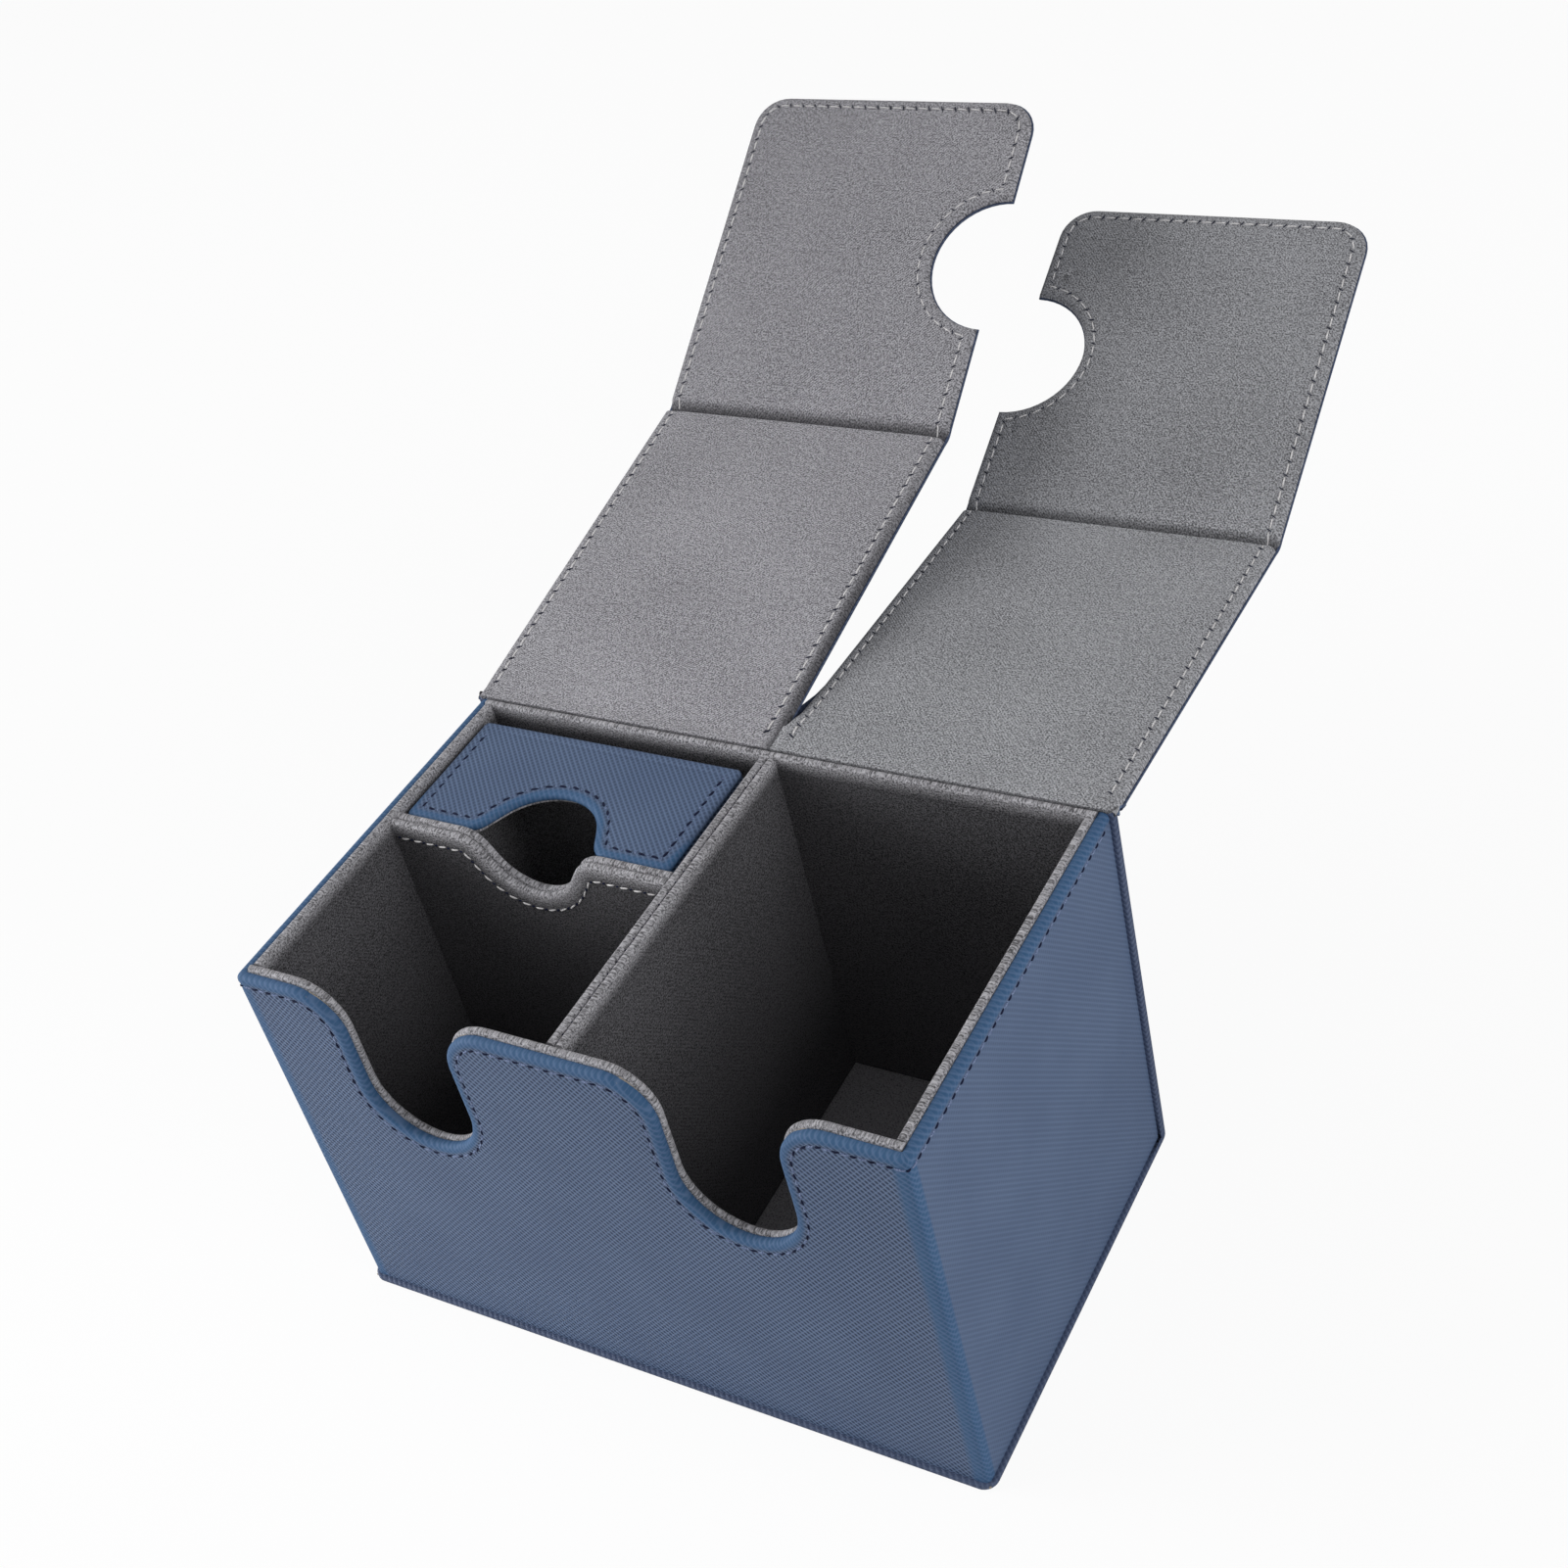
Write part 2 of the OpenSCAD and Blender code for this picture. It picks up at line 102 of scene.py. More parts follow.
class Finish:
    def __init__(self, name, **fixed):
        self.material = bpy.data.materials.new(name)
        self.material.use_nodes = True
        self.tree = self.material.node_tree
        self.shader = self.tree.nodes["Principled BSDF"]
        for label, value in fixed.items():
            self.shader.inputs[label.replace("_", " ")].default_value = value

    def node(self, kind, settings, values, out=0):
        made = self.tree.nodes.new(kind)
        for label, value in settings.items():
            setattr(made, label, value)
        for label, value in values.items():
            self.feed(made.inputs[label], value)
        return Wire(self, made.outputs[out])

    def feed(self, socket, value):
        if isinstance(value, Wire):
            self.tree.links.new(value.socket, socket)
        else:
            socket.default_value = value

    def tint(self, mask, low, high, blend="MIX"):
        return self.node("ShaderNodeMix", {"data_type": "RGBA", "blend_type": blend},
                         {0: mask, 6: low, 7: high}, 2)

    def part(self, at, axis):
        return self.node("ShaderNodeSeparateXYZ", {}, {0: at}, axis)

    def mark(self, name):  # a number kept on the mesh
        return self.node("ShaderNodeAttribute", {"attribute_name": name}, {}, 2)

    def flat(self):  # the sheet as it lay before it was folded
        at = self.node("ShaderNodeUVMap", {"uv_map": "flat"}, {})
        return at, self.part(at, 0), self.part(at, 1)

    def place(self):  # object coordinates
        return self.node("ShaderNodeTexCoord", {}, {}, 3)

    def cloud(self, at, size, detail=2.0, rough=0.5):  # size in mm
        return self.node("ShaderNodeTexNoise", {}, {"Vector": at, "Scale": 1 / (size * mm),
                                                    "Detail": detail, "Roughness": rough})

    def surface(self, colour, height=None, depth=0.05, rough=None):
        self.feed(self.shader.inputs["Base Color"], colour)
        if rough is not None:
            self.feed(self.shader.inputs["Roughness"], rough)
        if height is not None:
            bump = self.node("ShaderNodeBump", {},
                             {"Height": height, "Distance": depth * mm, "Strength": 1.0})
            self.feed(self.shader.inputs["Normal"], bump)
        return self.material


def rgb(red, green, blue):  # a screen colour from 0 to 255, as the shader wants it
    def linear(c):
        c /= 255
        return c / 12.92 if c <= 0.04045 else ((c + 0.055) / 1.055) ** 2.4
    return (linear(red), linear(green), linear(blue), 1.0)


# Embossed blue leather: two sets of fine diagonal grooves, pulled smooth where
# it turns over an edge. The pitch runs across and up the sheet, and groove says
# how wide each set is. From the edge, the colour changes over band and the
# relief over smooth. All in mm.
leatherLook = {"dark": rgb(0, 20, 54), "light": rgb(116, 138, 172), "edge": rgb(50, 86, 124),
               "pitch": (1.45, 1.535), "groove": (1.2, 0.4), "band": (1.3, 2.3), "smooth": (0.9, 2.1),
               "grain": 0.35, "wearSize": 22, "relief": 0.12, "rough": 0.64}
wrapLook = dict(leatherLook, dark=rgb(32, 46, 74), light=rgb(104, 120, 148), edge=rgb(62, 74, 102),
                band=(1.0, 1.7), smooth=(-2, -1))
wearTints = (0.92, 0.93, 0.95, 1), (1.05, 1.04, 1.03, 1)


def coverLeather(name, look):
    f = Finish(name, Specular_IOR_Level=0.35)
    at, u, v = f.flat()
    along, across = u / (look["pitch"][0] * mm), v / (look["pitch"][1] * mm)
    wide, narrow = look["groove"]
    ridge = 1 - (along + across).ripple() ** wide * (along - across).ripple() ** narrow
    fine = f.cloud(at, look["grain"], 3)
    worn = f.cloud(at, look["wearSize"], 3)
    rim = f.mark("rim")
    pressed = rim.between(*look["smooth"]) * (1 - f.mark("fold"))  # flatter near an edge and where the fold mark is set; on the side walls the fainter emboss is painted, standing in for the flatter light that falls there
    height = (ridge - 0.4) * (pressed * 0.9 + 0.1) + 0.4 + fine * 0.12
    tone = (ridge * 0.74 + fine * 0.3 - 0.08) * pressed + (1 - pressed) * (0.46 + ridge * 0.1)
    weave = f.tint(tone, look["dark"], look["light"])
    edge = f.tint(ridge * 0.42 - 0.1, look["edge"], look["light"])
    colour = f.tint(1 - rim.between(*look["band"]), weave, edge)
    colour = f.tint(1.0, colour, f.tint(worn.between(0.3, 0.7), *wearTints), "MULTIPLY")
    rough = look["rough"] - 0.16 * ridge * pressed + 0.1 * worn
    return f.surface(colour, height, look["relief"], rough)


# Grey suede: short fibres in drifts over a faint diagonal twill. Fibre, drift
# and broad each give a size in mm and a strength.
suedeLook = {"dark": rgb(88, 87, 91), "light": rgb(192, 191, 197), "pitch": 0.6, "slant": 47, "twill": 0.42,
             "relief": 0.6, "fibre": (0.42, 4.6), "drift": (1.5, 0.8), "broad": (34, 0.36), "patch": 14}
# the right lid's copy: a touch darker, as painted shade, and with a fainter twill
rightLook = dict(suedeLook, dark=rgb(86, 86, 89), light=rgb(190, 191, 196), twill=0.18)
# Inside the case the same grey suede is painted in shade: bayLook on the bay walls, dark below and in its own
# colour (topDark, topLight) near the rounded tops; floorLook a lighter painted shade on the bay floors; trayLook
# nearly black, painted shade inside the drawer
bayLook = dict(suedeLook, dark=rgb(35, 35, 37), light=rgb(108, 107, 111), pitch=0.75, twill=0.12, relief=0.35,
               topDark=rgb(84, 83, 86), topLight=rgb(190, 189, 194), litTop=(0.5, 4.4), low=(15, 80, 0.34))
floorLook = dict(bayLook, dark=rgb(78, 77, 81), light=rgb(168, 166, 172))
trayLook = dict(bayLook, dark=rgb(10, 10, 11), light=rgb(26, 26, 28))
foldShade = rgb(34, 33, 37)
lineMean = 0.63


def suedeWeave(f, look):
    at, u, v = f.flat()
    slant = math.radians(look["slant"])
    line = ((u * math.sin(slant) + v * math.cos(slant)) / (look["pitch"] * mm)).ripple()
    line = (line - lineMean) * f.mark("rim").between(0.8, 1.8)  # it doesn't show on a turned edge
    patchy = f.cloud(at, look["patch"], 2).between(0.35, 0.65)
    fibre = f.cloud(at, look["fibre"][0], 3, 0.7)
    drift = f.cloud(at, look["drift"][0], 3, 0.6)
    broad = f.cloud(at, look["broad"][0], 3)
    nap = 0.5 + line * look["twill"] * (0.4 + patchy)
    for cloud, key in ((fibre, "fibre"), (drift, "drift"), (broad, "broad")):
        nap = nap + (cloud - 0.5) * look[key][1]
    height = fibre * 0.8 + line * look["relief"] + drift * 0.4
    return nap, height


def lidSuede(name, look):
    f = Finish(name, Roughness=0.95, Specular_IOR_Level=0.12, Sheen_Weight=0.06, Sheen_Roughness=0.6)
    nap, height = suedeWeave(f, look)
    cloth = f.tint(nap, look["dark"], look["light"])
    return f.surface(f.tint(f.mark("fold"), cloth, foldShade), height, 0.1)


def baySuede(name, look):
    f = Finish(name, Roughness=0.96, Specular_IOR_Level=0.1, Sheen_Weight=0.03, Sheen_Roughness=0.6)
    nap, height = suedeWeave(f, look)
    floorZ, topZ, lift = look["low"]  # the painted shade is lighter towards the floor
    low = f.part(f.place(), 2).between(floorZ * mm, topZ * mm, lift, 0.0)
    # lower down the suede is painted in shade; near the rounded top it keeps its own colour
    shadedDeep = f.tint(nap + low, look["dark"], look["light"])
    litTop = f.tint(nap, look["topDark"], look["topLight"])
    top = 1 - f.mark("rim").between(*look["litTop"])
    return f.surface(f.tint(top, shadedDeep, litTop), height, 0.12)


def threadFinish(name, dark, light, rough=0.7):
    f = Finish(name, Specular_IOR_Level=0.25, Roughness=rough)
    ply = f.cloud(f.place(), 0.3, 2)
    return f.surface(f.tint(ply.between(0.3, 0.7), dark, light), ply, 0.05)


def boardFinish(name):
    f = Finish(name, Roughness=0.9, Specular_IOR_Level=0.2)
    pulp = f.cloud(f.place(), 1.1, 5, 0.7)
    return f.surface(f.tint(pulp, rgb(128, 118, 104), rgb(178, 168, 152)), pulp, 0.08)


def steelFinish(name):
    f = Finish(name, Metallic=1.0)
    turned = f.cloud(f.place(), 0.8, 4, 0.7)
    colour = f.tint(turned, rgb(160, 163, 168), rgb(205, 208, 212))
    return f.surface(colour, turned, 0.01, 0.24 + 0.2 * turned)


blueLeather = coverLeather("blueLeather", leatherLook)
wrapLeather = coverLeather("wrapLeather", wrapLook)
greySuede = lidSuede("greySuede", suedeLook)
rightSuede = lidSuede("rightSuede", rightLook)
shadedSuede = baySuede("shadedSuede", bayLook)
floorSuede = baySuede("floorSuede", floorLook)
traySuede = baySuede("traySuede", trayLook)
paleThread = threadFinish("paleThread", rgb(196, 194, 196), rgb(238, 236, 236))
blueThread = threadFinish("blueThread", rgb(74, 90, 126), rgb(138, 152, 184))
navyThread = threadFinish("navyThread", rgb(22, 24, 40), rgb(40, 44, 64))
# the dark of the stitch holes is painted shade; the same finish is the dark thread of the drawer and divider seams
darkThreadAndHoleShade = threadFinish("darkThreadAndHoleShade", rgb(14, 19, 42), rgb(25, 32, 62), 0.95)
coreBoard = boardFinish("coreBoard")
plateSteel = steelFinish("plateSteel")
print("finishes made")


# Flat shapes: an outline is drawn point by point and filled as one face. From
# here on all lengths are in mm, until make() scales them to metres.

arcSteps = {"shoulder": 16, "u": 26, "crown": 18, "waveShoulder": 7}
mergeGap = 0.12  # corners that come this close in a step are joined


class Outline:
    def __init__(self, x, y):
        self.bm = bmesh.new()
        self.tip = self.bm.verts.new((x, y, 0))

    def line(self, x, y):
        made = bmesh.ops.extrude_vert_indiv(self.bm, verts=[self.tip])
        self.tip = made["verts"][0]
        self.tip.co = (x, y, 0)
        return self

    def arc(self, x, y, degrees, steps):  # round a centre; anticlockwise is positive
        made = bmesh.ops.spin(self.bm, geom=[self.tip], cent=(x, y, 0), axis=(0, 0, 1),
                              angle=math.radians(degrees), steps=steps)
        self.tip = [g for g in made["geom_last"] if isinstance(g, bmesh.types.BMVert)][0]
        return self

    def corner(self, x, y, dx, dy, radius, steps):  # turns left there, coming along dx, dy
        self.line(x - dx * radius, y - dy * radius)
        if radius:
            self.arc(x - (dx + dy) * radius, y + (dx - dy) * radius, 90, steps)
        return self

    def uNotch(self, x, top, halfWidth, depth, shoulder):  # crossed from right to left
        floor = top - depth + halfWidth
        far, steps = halfWidth + shoulder, arcSteps["shoulder"]
        self.line(x + far, top).arc(x + far, top - shoulder, 90, steps)
        self.line(x + halfWidth, floor).arc(x, floor, -180, arcSteps["u"])
        return self.line(x - halfWidth, top - shoulder).arc(x - far, top - shoulder, 90, steps)

    def waveNotch(self, x, top, width, depth, low, high):
        reach = math.hypot(width / 2, low - depth + high)
        lean = math.atan2(-high - low + depth, width / 2) - math.acos((low + high) / reach)
        turn = 90 + math.degrees(lean)
        steps = arcSteps["waveShoulder"]
        self.line(x + width / 2, top).arc(x + width / 2, top - high, turn, steps)
        self.line(x + low * math.cos(lean), top + low - depth + low * math.sin(lean))
        self.arc(x, top + low - depth, -2 * turn, arcSteps["crown"])
        self.line(x - width / 2 + high * math.cos(lean), top - high - high * math.sin(lean))
        return self.arc(x - width / 2, top - high, turn, steps)

    def fill(self):
        bmesh.ops.remove_doubles(self.bm, verts=self.bm.verts[:], dist=0.002)
        face = bmesh.ops.contextual_create(self.bm, geom=self.bm.edges[:])["faces"][0]
        face.normal_update()
        if face.normal.z < 0:
            face.normal_flip()
        self.bm.verts.layers.float.new("rim")
        self.bm.verts.layers.float.new("fold")
        self.bm.loops.layers.uv.new("flat")
        return self.bm, face


def ease(t):
    t = min(1.0, max(0.0, t))
    return t * t * (3 - 2 * t)


def quarterRound(radius, steps):
    corner = [(radius * math.cos(a), radius * math.sin(a))
              for a in [math.pi / 2 * k / steps for k in range(steps + 1)]]
    return [(a[0] - b[0], b[1] - a[1]) for a, b in zip(corner, corner[1:])]


def stepIn(bm, face, rings, paths=()):
    # sinks the outline in step by step; a path is kept where its ring lies
    rim = bm.verts.layers.float["rim"]
    reach, kept = 0.0, []
    for inward, rise in rings:
        bmesh.ops.inset_region(bm, faces=[face], thickness=inward, depth=rise,
                               use_even_offset=True, use_boundary=True)
        bmesh.ops.remove_doubles(bm, verts=face.verts[:], dist=mergeGap)
        face = max(bm.faces, key=lambda f: f.calc_area())
        reach += inward
        for v in face.verts:
            v[rim] = reach
        for path in paths:
            if abs(reach - path) < 0.02:
                kept.append([v.co.copy() for v in face.verts])
    return kept


def cutAt(bm, point, normal, drop=True):
    bmesh.ops.bisect_plane(bm, geom=bm.verts[:] + bm.edges[:] + bm.faces[:], dist=0.001,
                           plane_co=point, plane_no=normal, clear_outer=drop)


def trim(bm, point, normal):  # cuts a closed piece and closes the cut
    cutAt(bm, point, normal)
    made = bmesh.ops.holes_fill(bm, edges=[e for e in bm.edges if e.is_boundary], sides=0)
    for edge in {e for f in made["faces"] for e in f.edges}:
        edge.smooth = False


def rule(bm, axis, places):  # rows or columns of edges, so that a face can bend
    normal = (1, 0, 0) if axis == "x" else (0, 1, 0)
    for p in places:
        cutAt(bm, tuple(p * n for n in normal), normal, False)


def layFlat(bm, dx=0.0, dy=0.0, flip=1):
    uv = bm.loops.layers.uv["flat"]
    for face in bm.faces:
        for loop in face.loops:
            loop[uv].uv = ((loop.vert.co.x + dx) * mm, (loop.vert.co.y + dy) * flip * mm)


def bothSides(bm, square=0.0):
    # the hidden side may keep a squarer edge, round the board inside
    bmesh.ops.mirror(bm, geom=bm.verts[:] + bm.edges[:] + bm.faces[:], merge_dist=0.001, axis="Z")
    rim = bm.verts.layers.float["rim"]
    for v in bm.verts:
        if square and v.co.z < -0.01 and v[rim] < square:
            v.co.z = -square * (1 - (1 - v[rim] / square) ** 5) ** 0.2
    bmesh.ops.recalc_face_normals(bm, faces=bm.faces[:])


def sway(bm, size, height, seed):  # board and cloth are never quite flat
    rim = bm.verts.layers.float["rim"]
    for v in bm.verts:
        share = min(1.0, max(0.0, v[rim] / 3.0))
        v.co.z += share * height * noise.noise(Vector((v.co.x / size + seed, v.co.y / size, seed)))


def make(name, bm, where, finish, body=None, nodes=()):
    for v in bm.verts:
        v.co = Vector(where(*v.co)) * mm
    bmesh.ops.recalc_face_normals(bm, faces=bm.faces[:])
    mesh = bpy.data.meshes.new(name)
    bm.to_mesh(mesh)
    bm.free()
    mesh.materials.append(finish)
    for polygon in mesh.polygons:
        polygon.use_smooth = True
    piece = bpy.data.objects.new(name, mesh)
    bpy.context.scene.collection.objects.link(piece)
    if body:
        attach(piece, body)
    if nodes:
        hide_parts(*nodes)
    return piece


def spread(low, high, step):
    count = max(1, round((high - low) / step))
    return [low + (high - low) * k / count for k in range(1, count)]


# Stitches: a path is walked at an even pitch

def walk(path, pitch, closed=True, offset=0.0):
    points = path + path[:1] if closed else path
    lengths = [(b - a).length for a, b in zip(points, points[1:])]
    total = sum(lengths)
    count = max(1, round(total / pitch))
    found, at, k = [], 0.0, 0
    for n in range(count):
        want = (n + offset) * total / count
        while k < len(lengths) - 1 and at + lengths[k] < want:
            at += lengths[k]
            k += 1
        a, b = points[k], points[k + 1]
        share = (want - at) / max(lengths[k], 1e-6)
        found.append((a.lerp(b, share), (b - a).normalized()))
    return found


def sew(bm, spots, length, width, height, lift, skew=0.0):
    for spot, along in spots:
        turn = Matrix.Rotation(math.atan2(along.y, along.x) + math.radians(skew), 4, "Z")
        at = Matrix.Translation((spot.x, spot.y, spot.z + lift))
        made = bmesh.ops.create_uvsphere(bm, u_segments=6, v_segments=6, radius=0.5,
                                         matrix=at @ turn @ Matrix.Diagonal((length, width, height, 1))
                                         @ Matrix.Rotation(math.pi / 2, 4, "Y"))  # poles at the ends
        back = (at @ turn).inverted()
        for v in made["verts"]:  # fuller ends than a ball drawn out long
            q = back @ v.co
            thin = math.hypot(q.y / width, q.z / height) * 2
            if thin > 1e-4:
                q.y, q.z = q.y * thin ** -0.4, q.z * thin ** -0.4
            q.z -= height * 0.8 * (2 * q.x / length) ** 4  # the ends dive into the holes
            v.co = at @ turn @ q


def seam(name, path, where, look, body=None, closed=True, only=None):
    # one mesh of threads and one of the holes between them
    made = []
    for part, offset in (("thread", 0.0), ("hole", 0.5)):
        length, width, height, lift, skew, finish = look[part]
        spots = [s for s in walk(path, look["pitch"], closed, offset) if only is None or only(s[0])]
        bm = bmesh.new()
        sew(bm, spots, length, width, height, lift, skew)
        made.append(make(name + part.capitalize(), bm, where, finish, body))
    return made


# thread and hole: length, width, height, lift, skew in degrees, finish
# the navy seam's holes are dark blobs on the surface, painted shade in the stitch holes
navySeam = {"pitch": 3.6, "thread": (2.2, 0.48, 0.46, 0.07, 4, blueThread),
            "hole": (1.8, 0.52, 0.46, 0.08, 12, darkThreadAndHoleShade)}
trayStitch = {"pitch": 3.3, "thread": (2.3, 0.7, 0.44, 0.04, 12, darkThreadAndHoleShade),
              "hole": (0.7, 0.35, 0.4, 0.14, 60, blueThread)}
paleSeam = {"pitch": 3.65, "thread": (3.1, 0.4, 0.5, 0.12, 3, paleThread),
            "hole": (2.2, 0.3, 0.46, 0.14, 62, navyThread)}
plySeam = {"pitch": 3.4, "thread": (2.4, 0.3, 0.3, 0.0, 0, darkThreadAndHoleShade),
           "hole": (1.3, 0.34, 0.5, 0.1, 52, darkThreadAndHoleShade)}
crossStitch = {"pitch": 3.4, "thread": (2.5, 0.42, 0.5, 0.06, 8, paleThread),
               "hole": (1.1, 0.5, 0.3, 0.02, 30, darkThreadAndHoleShade)}


# The case: one leather skin round three walls, with two card notches

wall = {"halfWidth": 78, "front": -48, "back": 45.6, "foot": 1.6, "top": 98.6, "thick": 2.2, "corner": 2.4,
        "notches": (36.35, -39.55), "notchHalf": 13.4, "notchDepth": 38.4, "shoulder": 11, "round": 1.1,
        "seamAt": 2.7, "past": 8, "square": 0.6, "flatSideLight": 0.88, "stripe": (1.3, 0.5, 2), "step": 9}
sewnEdge = quarterRound(wall["round"], 5) + [(0.3, 0.02), (0.35, -0.04), (0.45, -0.05), (0.5, -0.1), (0.3, 0.12),
                                             (0.6, 0.04), (0.8, 0.01)]


def makeWalls():
    w = wall
    side = w["back"] - w["front"] - w["corner"]
    turn = w["corner"] * math.pi / 2
    front = 2 * (w["halfWidth"] - w["corner"])
    total = 2 * side + 2 * turn + front
    middle = side + turn + front / 2

    def bend(s, z, depth):
        r = w["corner"] + depth - w["thick"] / 2
        if s > total / 2:
            x, y, z = bend(total - s, z, depth)
            return -x, y, z
        if s <= side:
            return -w["halfWidth"] + w["corner"] - r, w["back"] - s, z
        if s < side + turn:
            a = min(math.pi / 2, (s - side) / w["corner"])
            return (-w["halfWidth"] + w["corner"] - r * max(0.0, math.cos(a)) ** w["square"],
                    w["front"] + w["corner"] - r * max(0.0, math.sin(a)) ** w["square"], z)
        return -w["halfWidth"] + w["corner"] + s - side - turn, w["front"] + w["corner"] - r, z

    past = w["past"]
    shape = Outline(-past, -past).line(total + past, -past).line(total + past, w["top"])
    for x in w["notches"]:
        shape.uNotch(middle + x, w["top"], w["notchHalf"], w["notchDepth"], w["shoulder"])
    bm, face = shape.line(-past, w["top"]).fill()
    path = stepIn(bm, face, sewnEdge, [w["seamAt"]])[0]
    sway(bm, 30, 0.12, 3)
    fold, rim = bm.verts.layers.float["fold"], bm.verts.layers.float["rim"]
    bothSides(bm, w["round"])
    for at, way in (((0, w["foot"], 0), (0, -1, 0)), ((0, 0, 0), (-1, 0, 0)), ((total, 0, 0), (1, 0, 0))):
        trim(bm, at, way)
    starts = (side, side + turn + front)
    corners = [c + turn * k / 8 for c in starts for k in range(9)]
    margins = [c + d for c in starts for gap in (0.6, 1.4, 2.4, 3.2) for d in (-gap, turn + gap)]
    rule(bm, "x", corners + margins + spread(0, side, w["step"])
         + spread(side + turn, side + turn + front, w["step"]) + spread(side + 2 * turn + front, total, w["step"]))
    rule(bm, "y", spread(w["foot"], w["top"], w["step"]))
    level, inFront, aside = w["stripe"]
    for v in bm.verts:  # a smooth strip in the edge colour beside the front corners; on the side walls the emboss is painted fainter, standing in for the flatter light there
        gone = abs(v.co.x - middle) - front / 2
        v[fold] = w["flatSideLight"] * ease(gone / turn)
        v[rim] = min(v[rim], level + max(0.0, -gone * inFront, (gone - turn) * aside))
    layFlat(bm, -middle)
    make("wallSkin", bm, bend, blueLeather, "case", ["wall_cover"])
    seam("wallSeam", path, bend, navySeam, "case",
         only=lambda p: p.y > w["foot"] + 2 and 1.5 < p.x < total - 1.5)


# Base and back are one strip of leather, folded up at the heel
base = {"halfWidth": 78.95, "front": -48.9, "fold": (45.6, 1.6), "top": 98.7, "thick": 1.6, "backThick": 2.4,
        "corner": 3.2, "heel": 1.8, "square": 0.6, "round": 0.55, "seamAt": 2.9, "step": 12}


def makeWrap():
    b = base
    r, wide = b["corner"], b["halfWidth"]
    run = b["fold"][0] - b["front"]
    turn = b["heel"]
    total = run + turn + b["top"] - b["fold"][1]
    shape = Outline(-wide, total).corner(-wide, 0, 0, -1, r, 7).corner(wide, 0, 1, 0, r, 7)
    bm, face = shape.line(wide, total).fill()
    edge = [(0.0, b["thick"] / 2 - b["round"])] + quarterRound(b["round"], 4)
    edge += [(0.5, 0.0), (0.85, 0.05), (0.4, -0.05), (0.3, -0.12), (0.3, 0.11), (0.6, 0.01)]
    path = stepIn(bm, face, edge, [b["seamAt"]])[0]
    sway(bm, 34, 0.1, 8)
    bothSides(bm)
    rule(bm, "x", spread(-wide, wide, b["step"]))
    rule(bm, "y", spread(0, run, b["step"]) + [run + turn * k / 6 for k in range(7)]
         + spread(run + turn, total, 10))
    layFlat(bm)

    def bend(x, s, depth):
        if depth < 0:  # the inner side stays square, over the board
            depth = -(b["thick"] / 2 + 0.06) * (-2 * depth / b["thick"]) ** 0.4
        q = depth + b["thick"] / 2
        if s <= run:
            return x, b["front"] + s, b["fold"][1] - q
        a = min(1.0, (s - run) / turn) * math.pi / 2
        back = q * (1 + (b["backThick"] / b["thick"] - 1) * math.sin(a))
        return (x, b["fold"][0] + back * math.sin(a) ** b["square"],
                b["fold"][1] - q * max(0.0, math.cos(a)) ** b["square"] + max(0.0, s - run - turn))
    make("wrapSkin", bm, bend, wrapLeather, "case", ["base_cover", "back_cover"])
    seam("wrapSeam", path, bend, navySeam, "case", only=lambda p: run + 5 < p.y < total - 5)


makeWalls()
makeWrap()
print("case skins made")


# Linings and dividers: suede over board, with a full round along each top

lining = {"top": 99.2, "foot": 1.6, "thick": 2.0, "innerX": 73.8, "frontY": -45.8, "pocketY": -43.8,
          "backInner": 43.6, "narrower": 0.1}
ply = {"thick": 2.1, "top": 98.5, "gap": 0.6, "floor": 3.6, "crossY": 2.2, "bayX": -37.95,
       "wave": (36.6, 12.5, 12, 7), "seamAt": 4.05, "seamDown": 0.75}


def standingBoard(name, low, high, foot, top, thick, where, node, notch=None, seed=1.0, seamAt=None):
    # a board on its edge; its ends are cut square where they meet another board
    past = 6
    shape = Outline(low - past, foot - past).line(high + past, foot - past).line(high + past, top)
    if notch:
        notch(shape)
    bm, face = shape.line(low - past, top).fill()
    edge = quarterRound(thick / 2, 5) + [(0.4, 0.0), (0.6, 0.0), (0.8, 0.0), (1.2, 0.0), (0.6, 0.0)]
    paths = stepIn(bm, face, edge, [seamAt] if seamAt else [])
    sway(bm, 22, 0.12, seed)
    bothSides(bm)
    for at, way in (((0, foot, 0), (0, -1, 0)), ((low, 0, 0), (-1, 0, 0)), ((high, 0, 0), (1, 0, 0))):
        trim(bm, at, way)
    rule(bm, "x", spread(low, high, 11))
    rule(bm, "y", spread(foot, top, 12))
    layFlat(bm, seed * 7.0, seed * 3.0)
    make(name, bm, where, shadedSuede, "case", [node])
    return paths


def makeLinings():
    n = lining
    mid = n["thick"] / 2
    wide = n["innerX"] + n["thick"]

    def uNotches(shape):
        for x in wall["notches"]:
            shape.uNotch(x, n["top"], wall["notchHalf"] - n["narrower"],
                         wall["notchDepth"] + n["top"] - wall["top"], wall["shoulder"])

    for word, side in (("left", -1), ("right", 1)):
        x = side * (n["innerX"] + mid)
        standingBoard(word + "LiningBoard", n["pocketY"], n["backInner"], n["foot"], n["top"], n["thick"],
                      lambda s, z, d: (x - side * d, s, z), word + "_lining", seed=2 + x / 100)
    standingBoard("backLiningBoard", -wide, wide, n["foot"], n["top"], n["thick"],
                  lambda s, z, d: (s, n["backInner"] + mid - d, z), "back_lining", seed=5)
    standingBoard("frontLiningBoard", -wide, wide, n["foot"], n["top"], n["thick"],
                  lambda s, z, d: (s, n["frontY"] + mid + d, z), "front_lining", uNotches, seed=6)


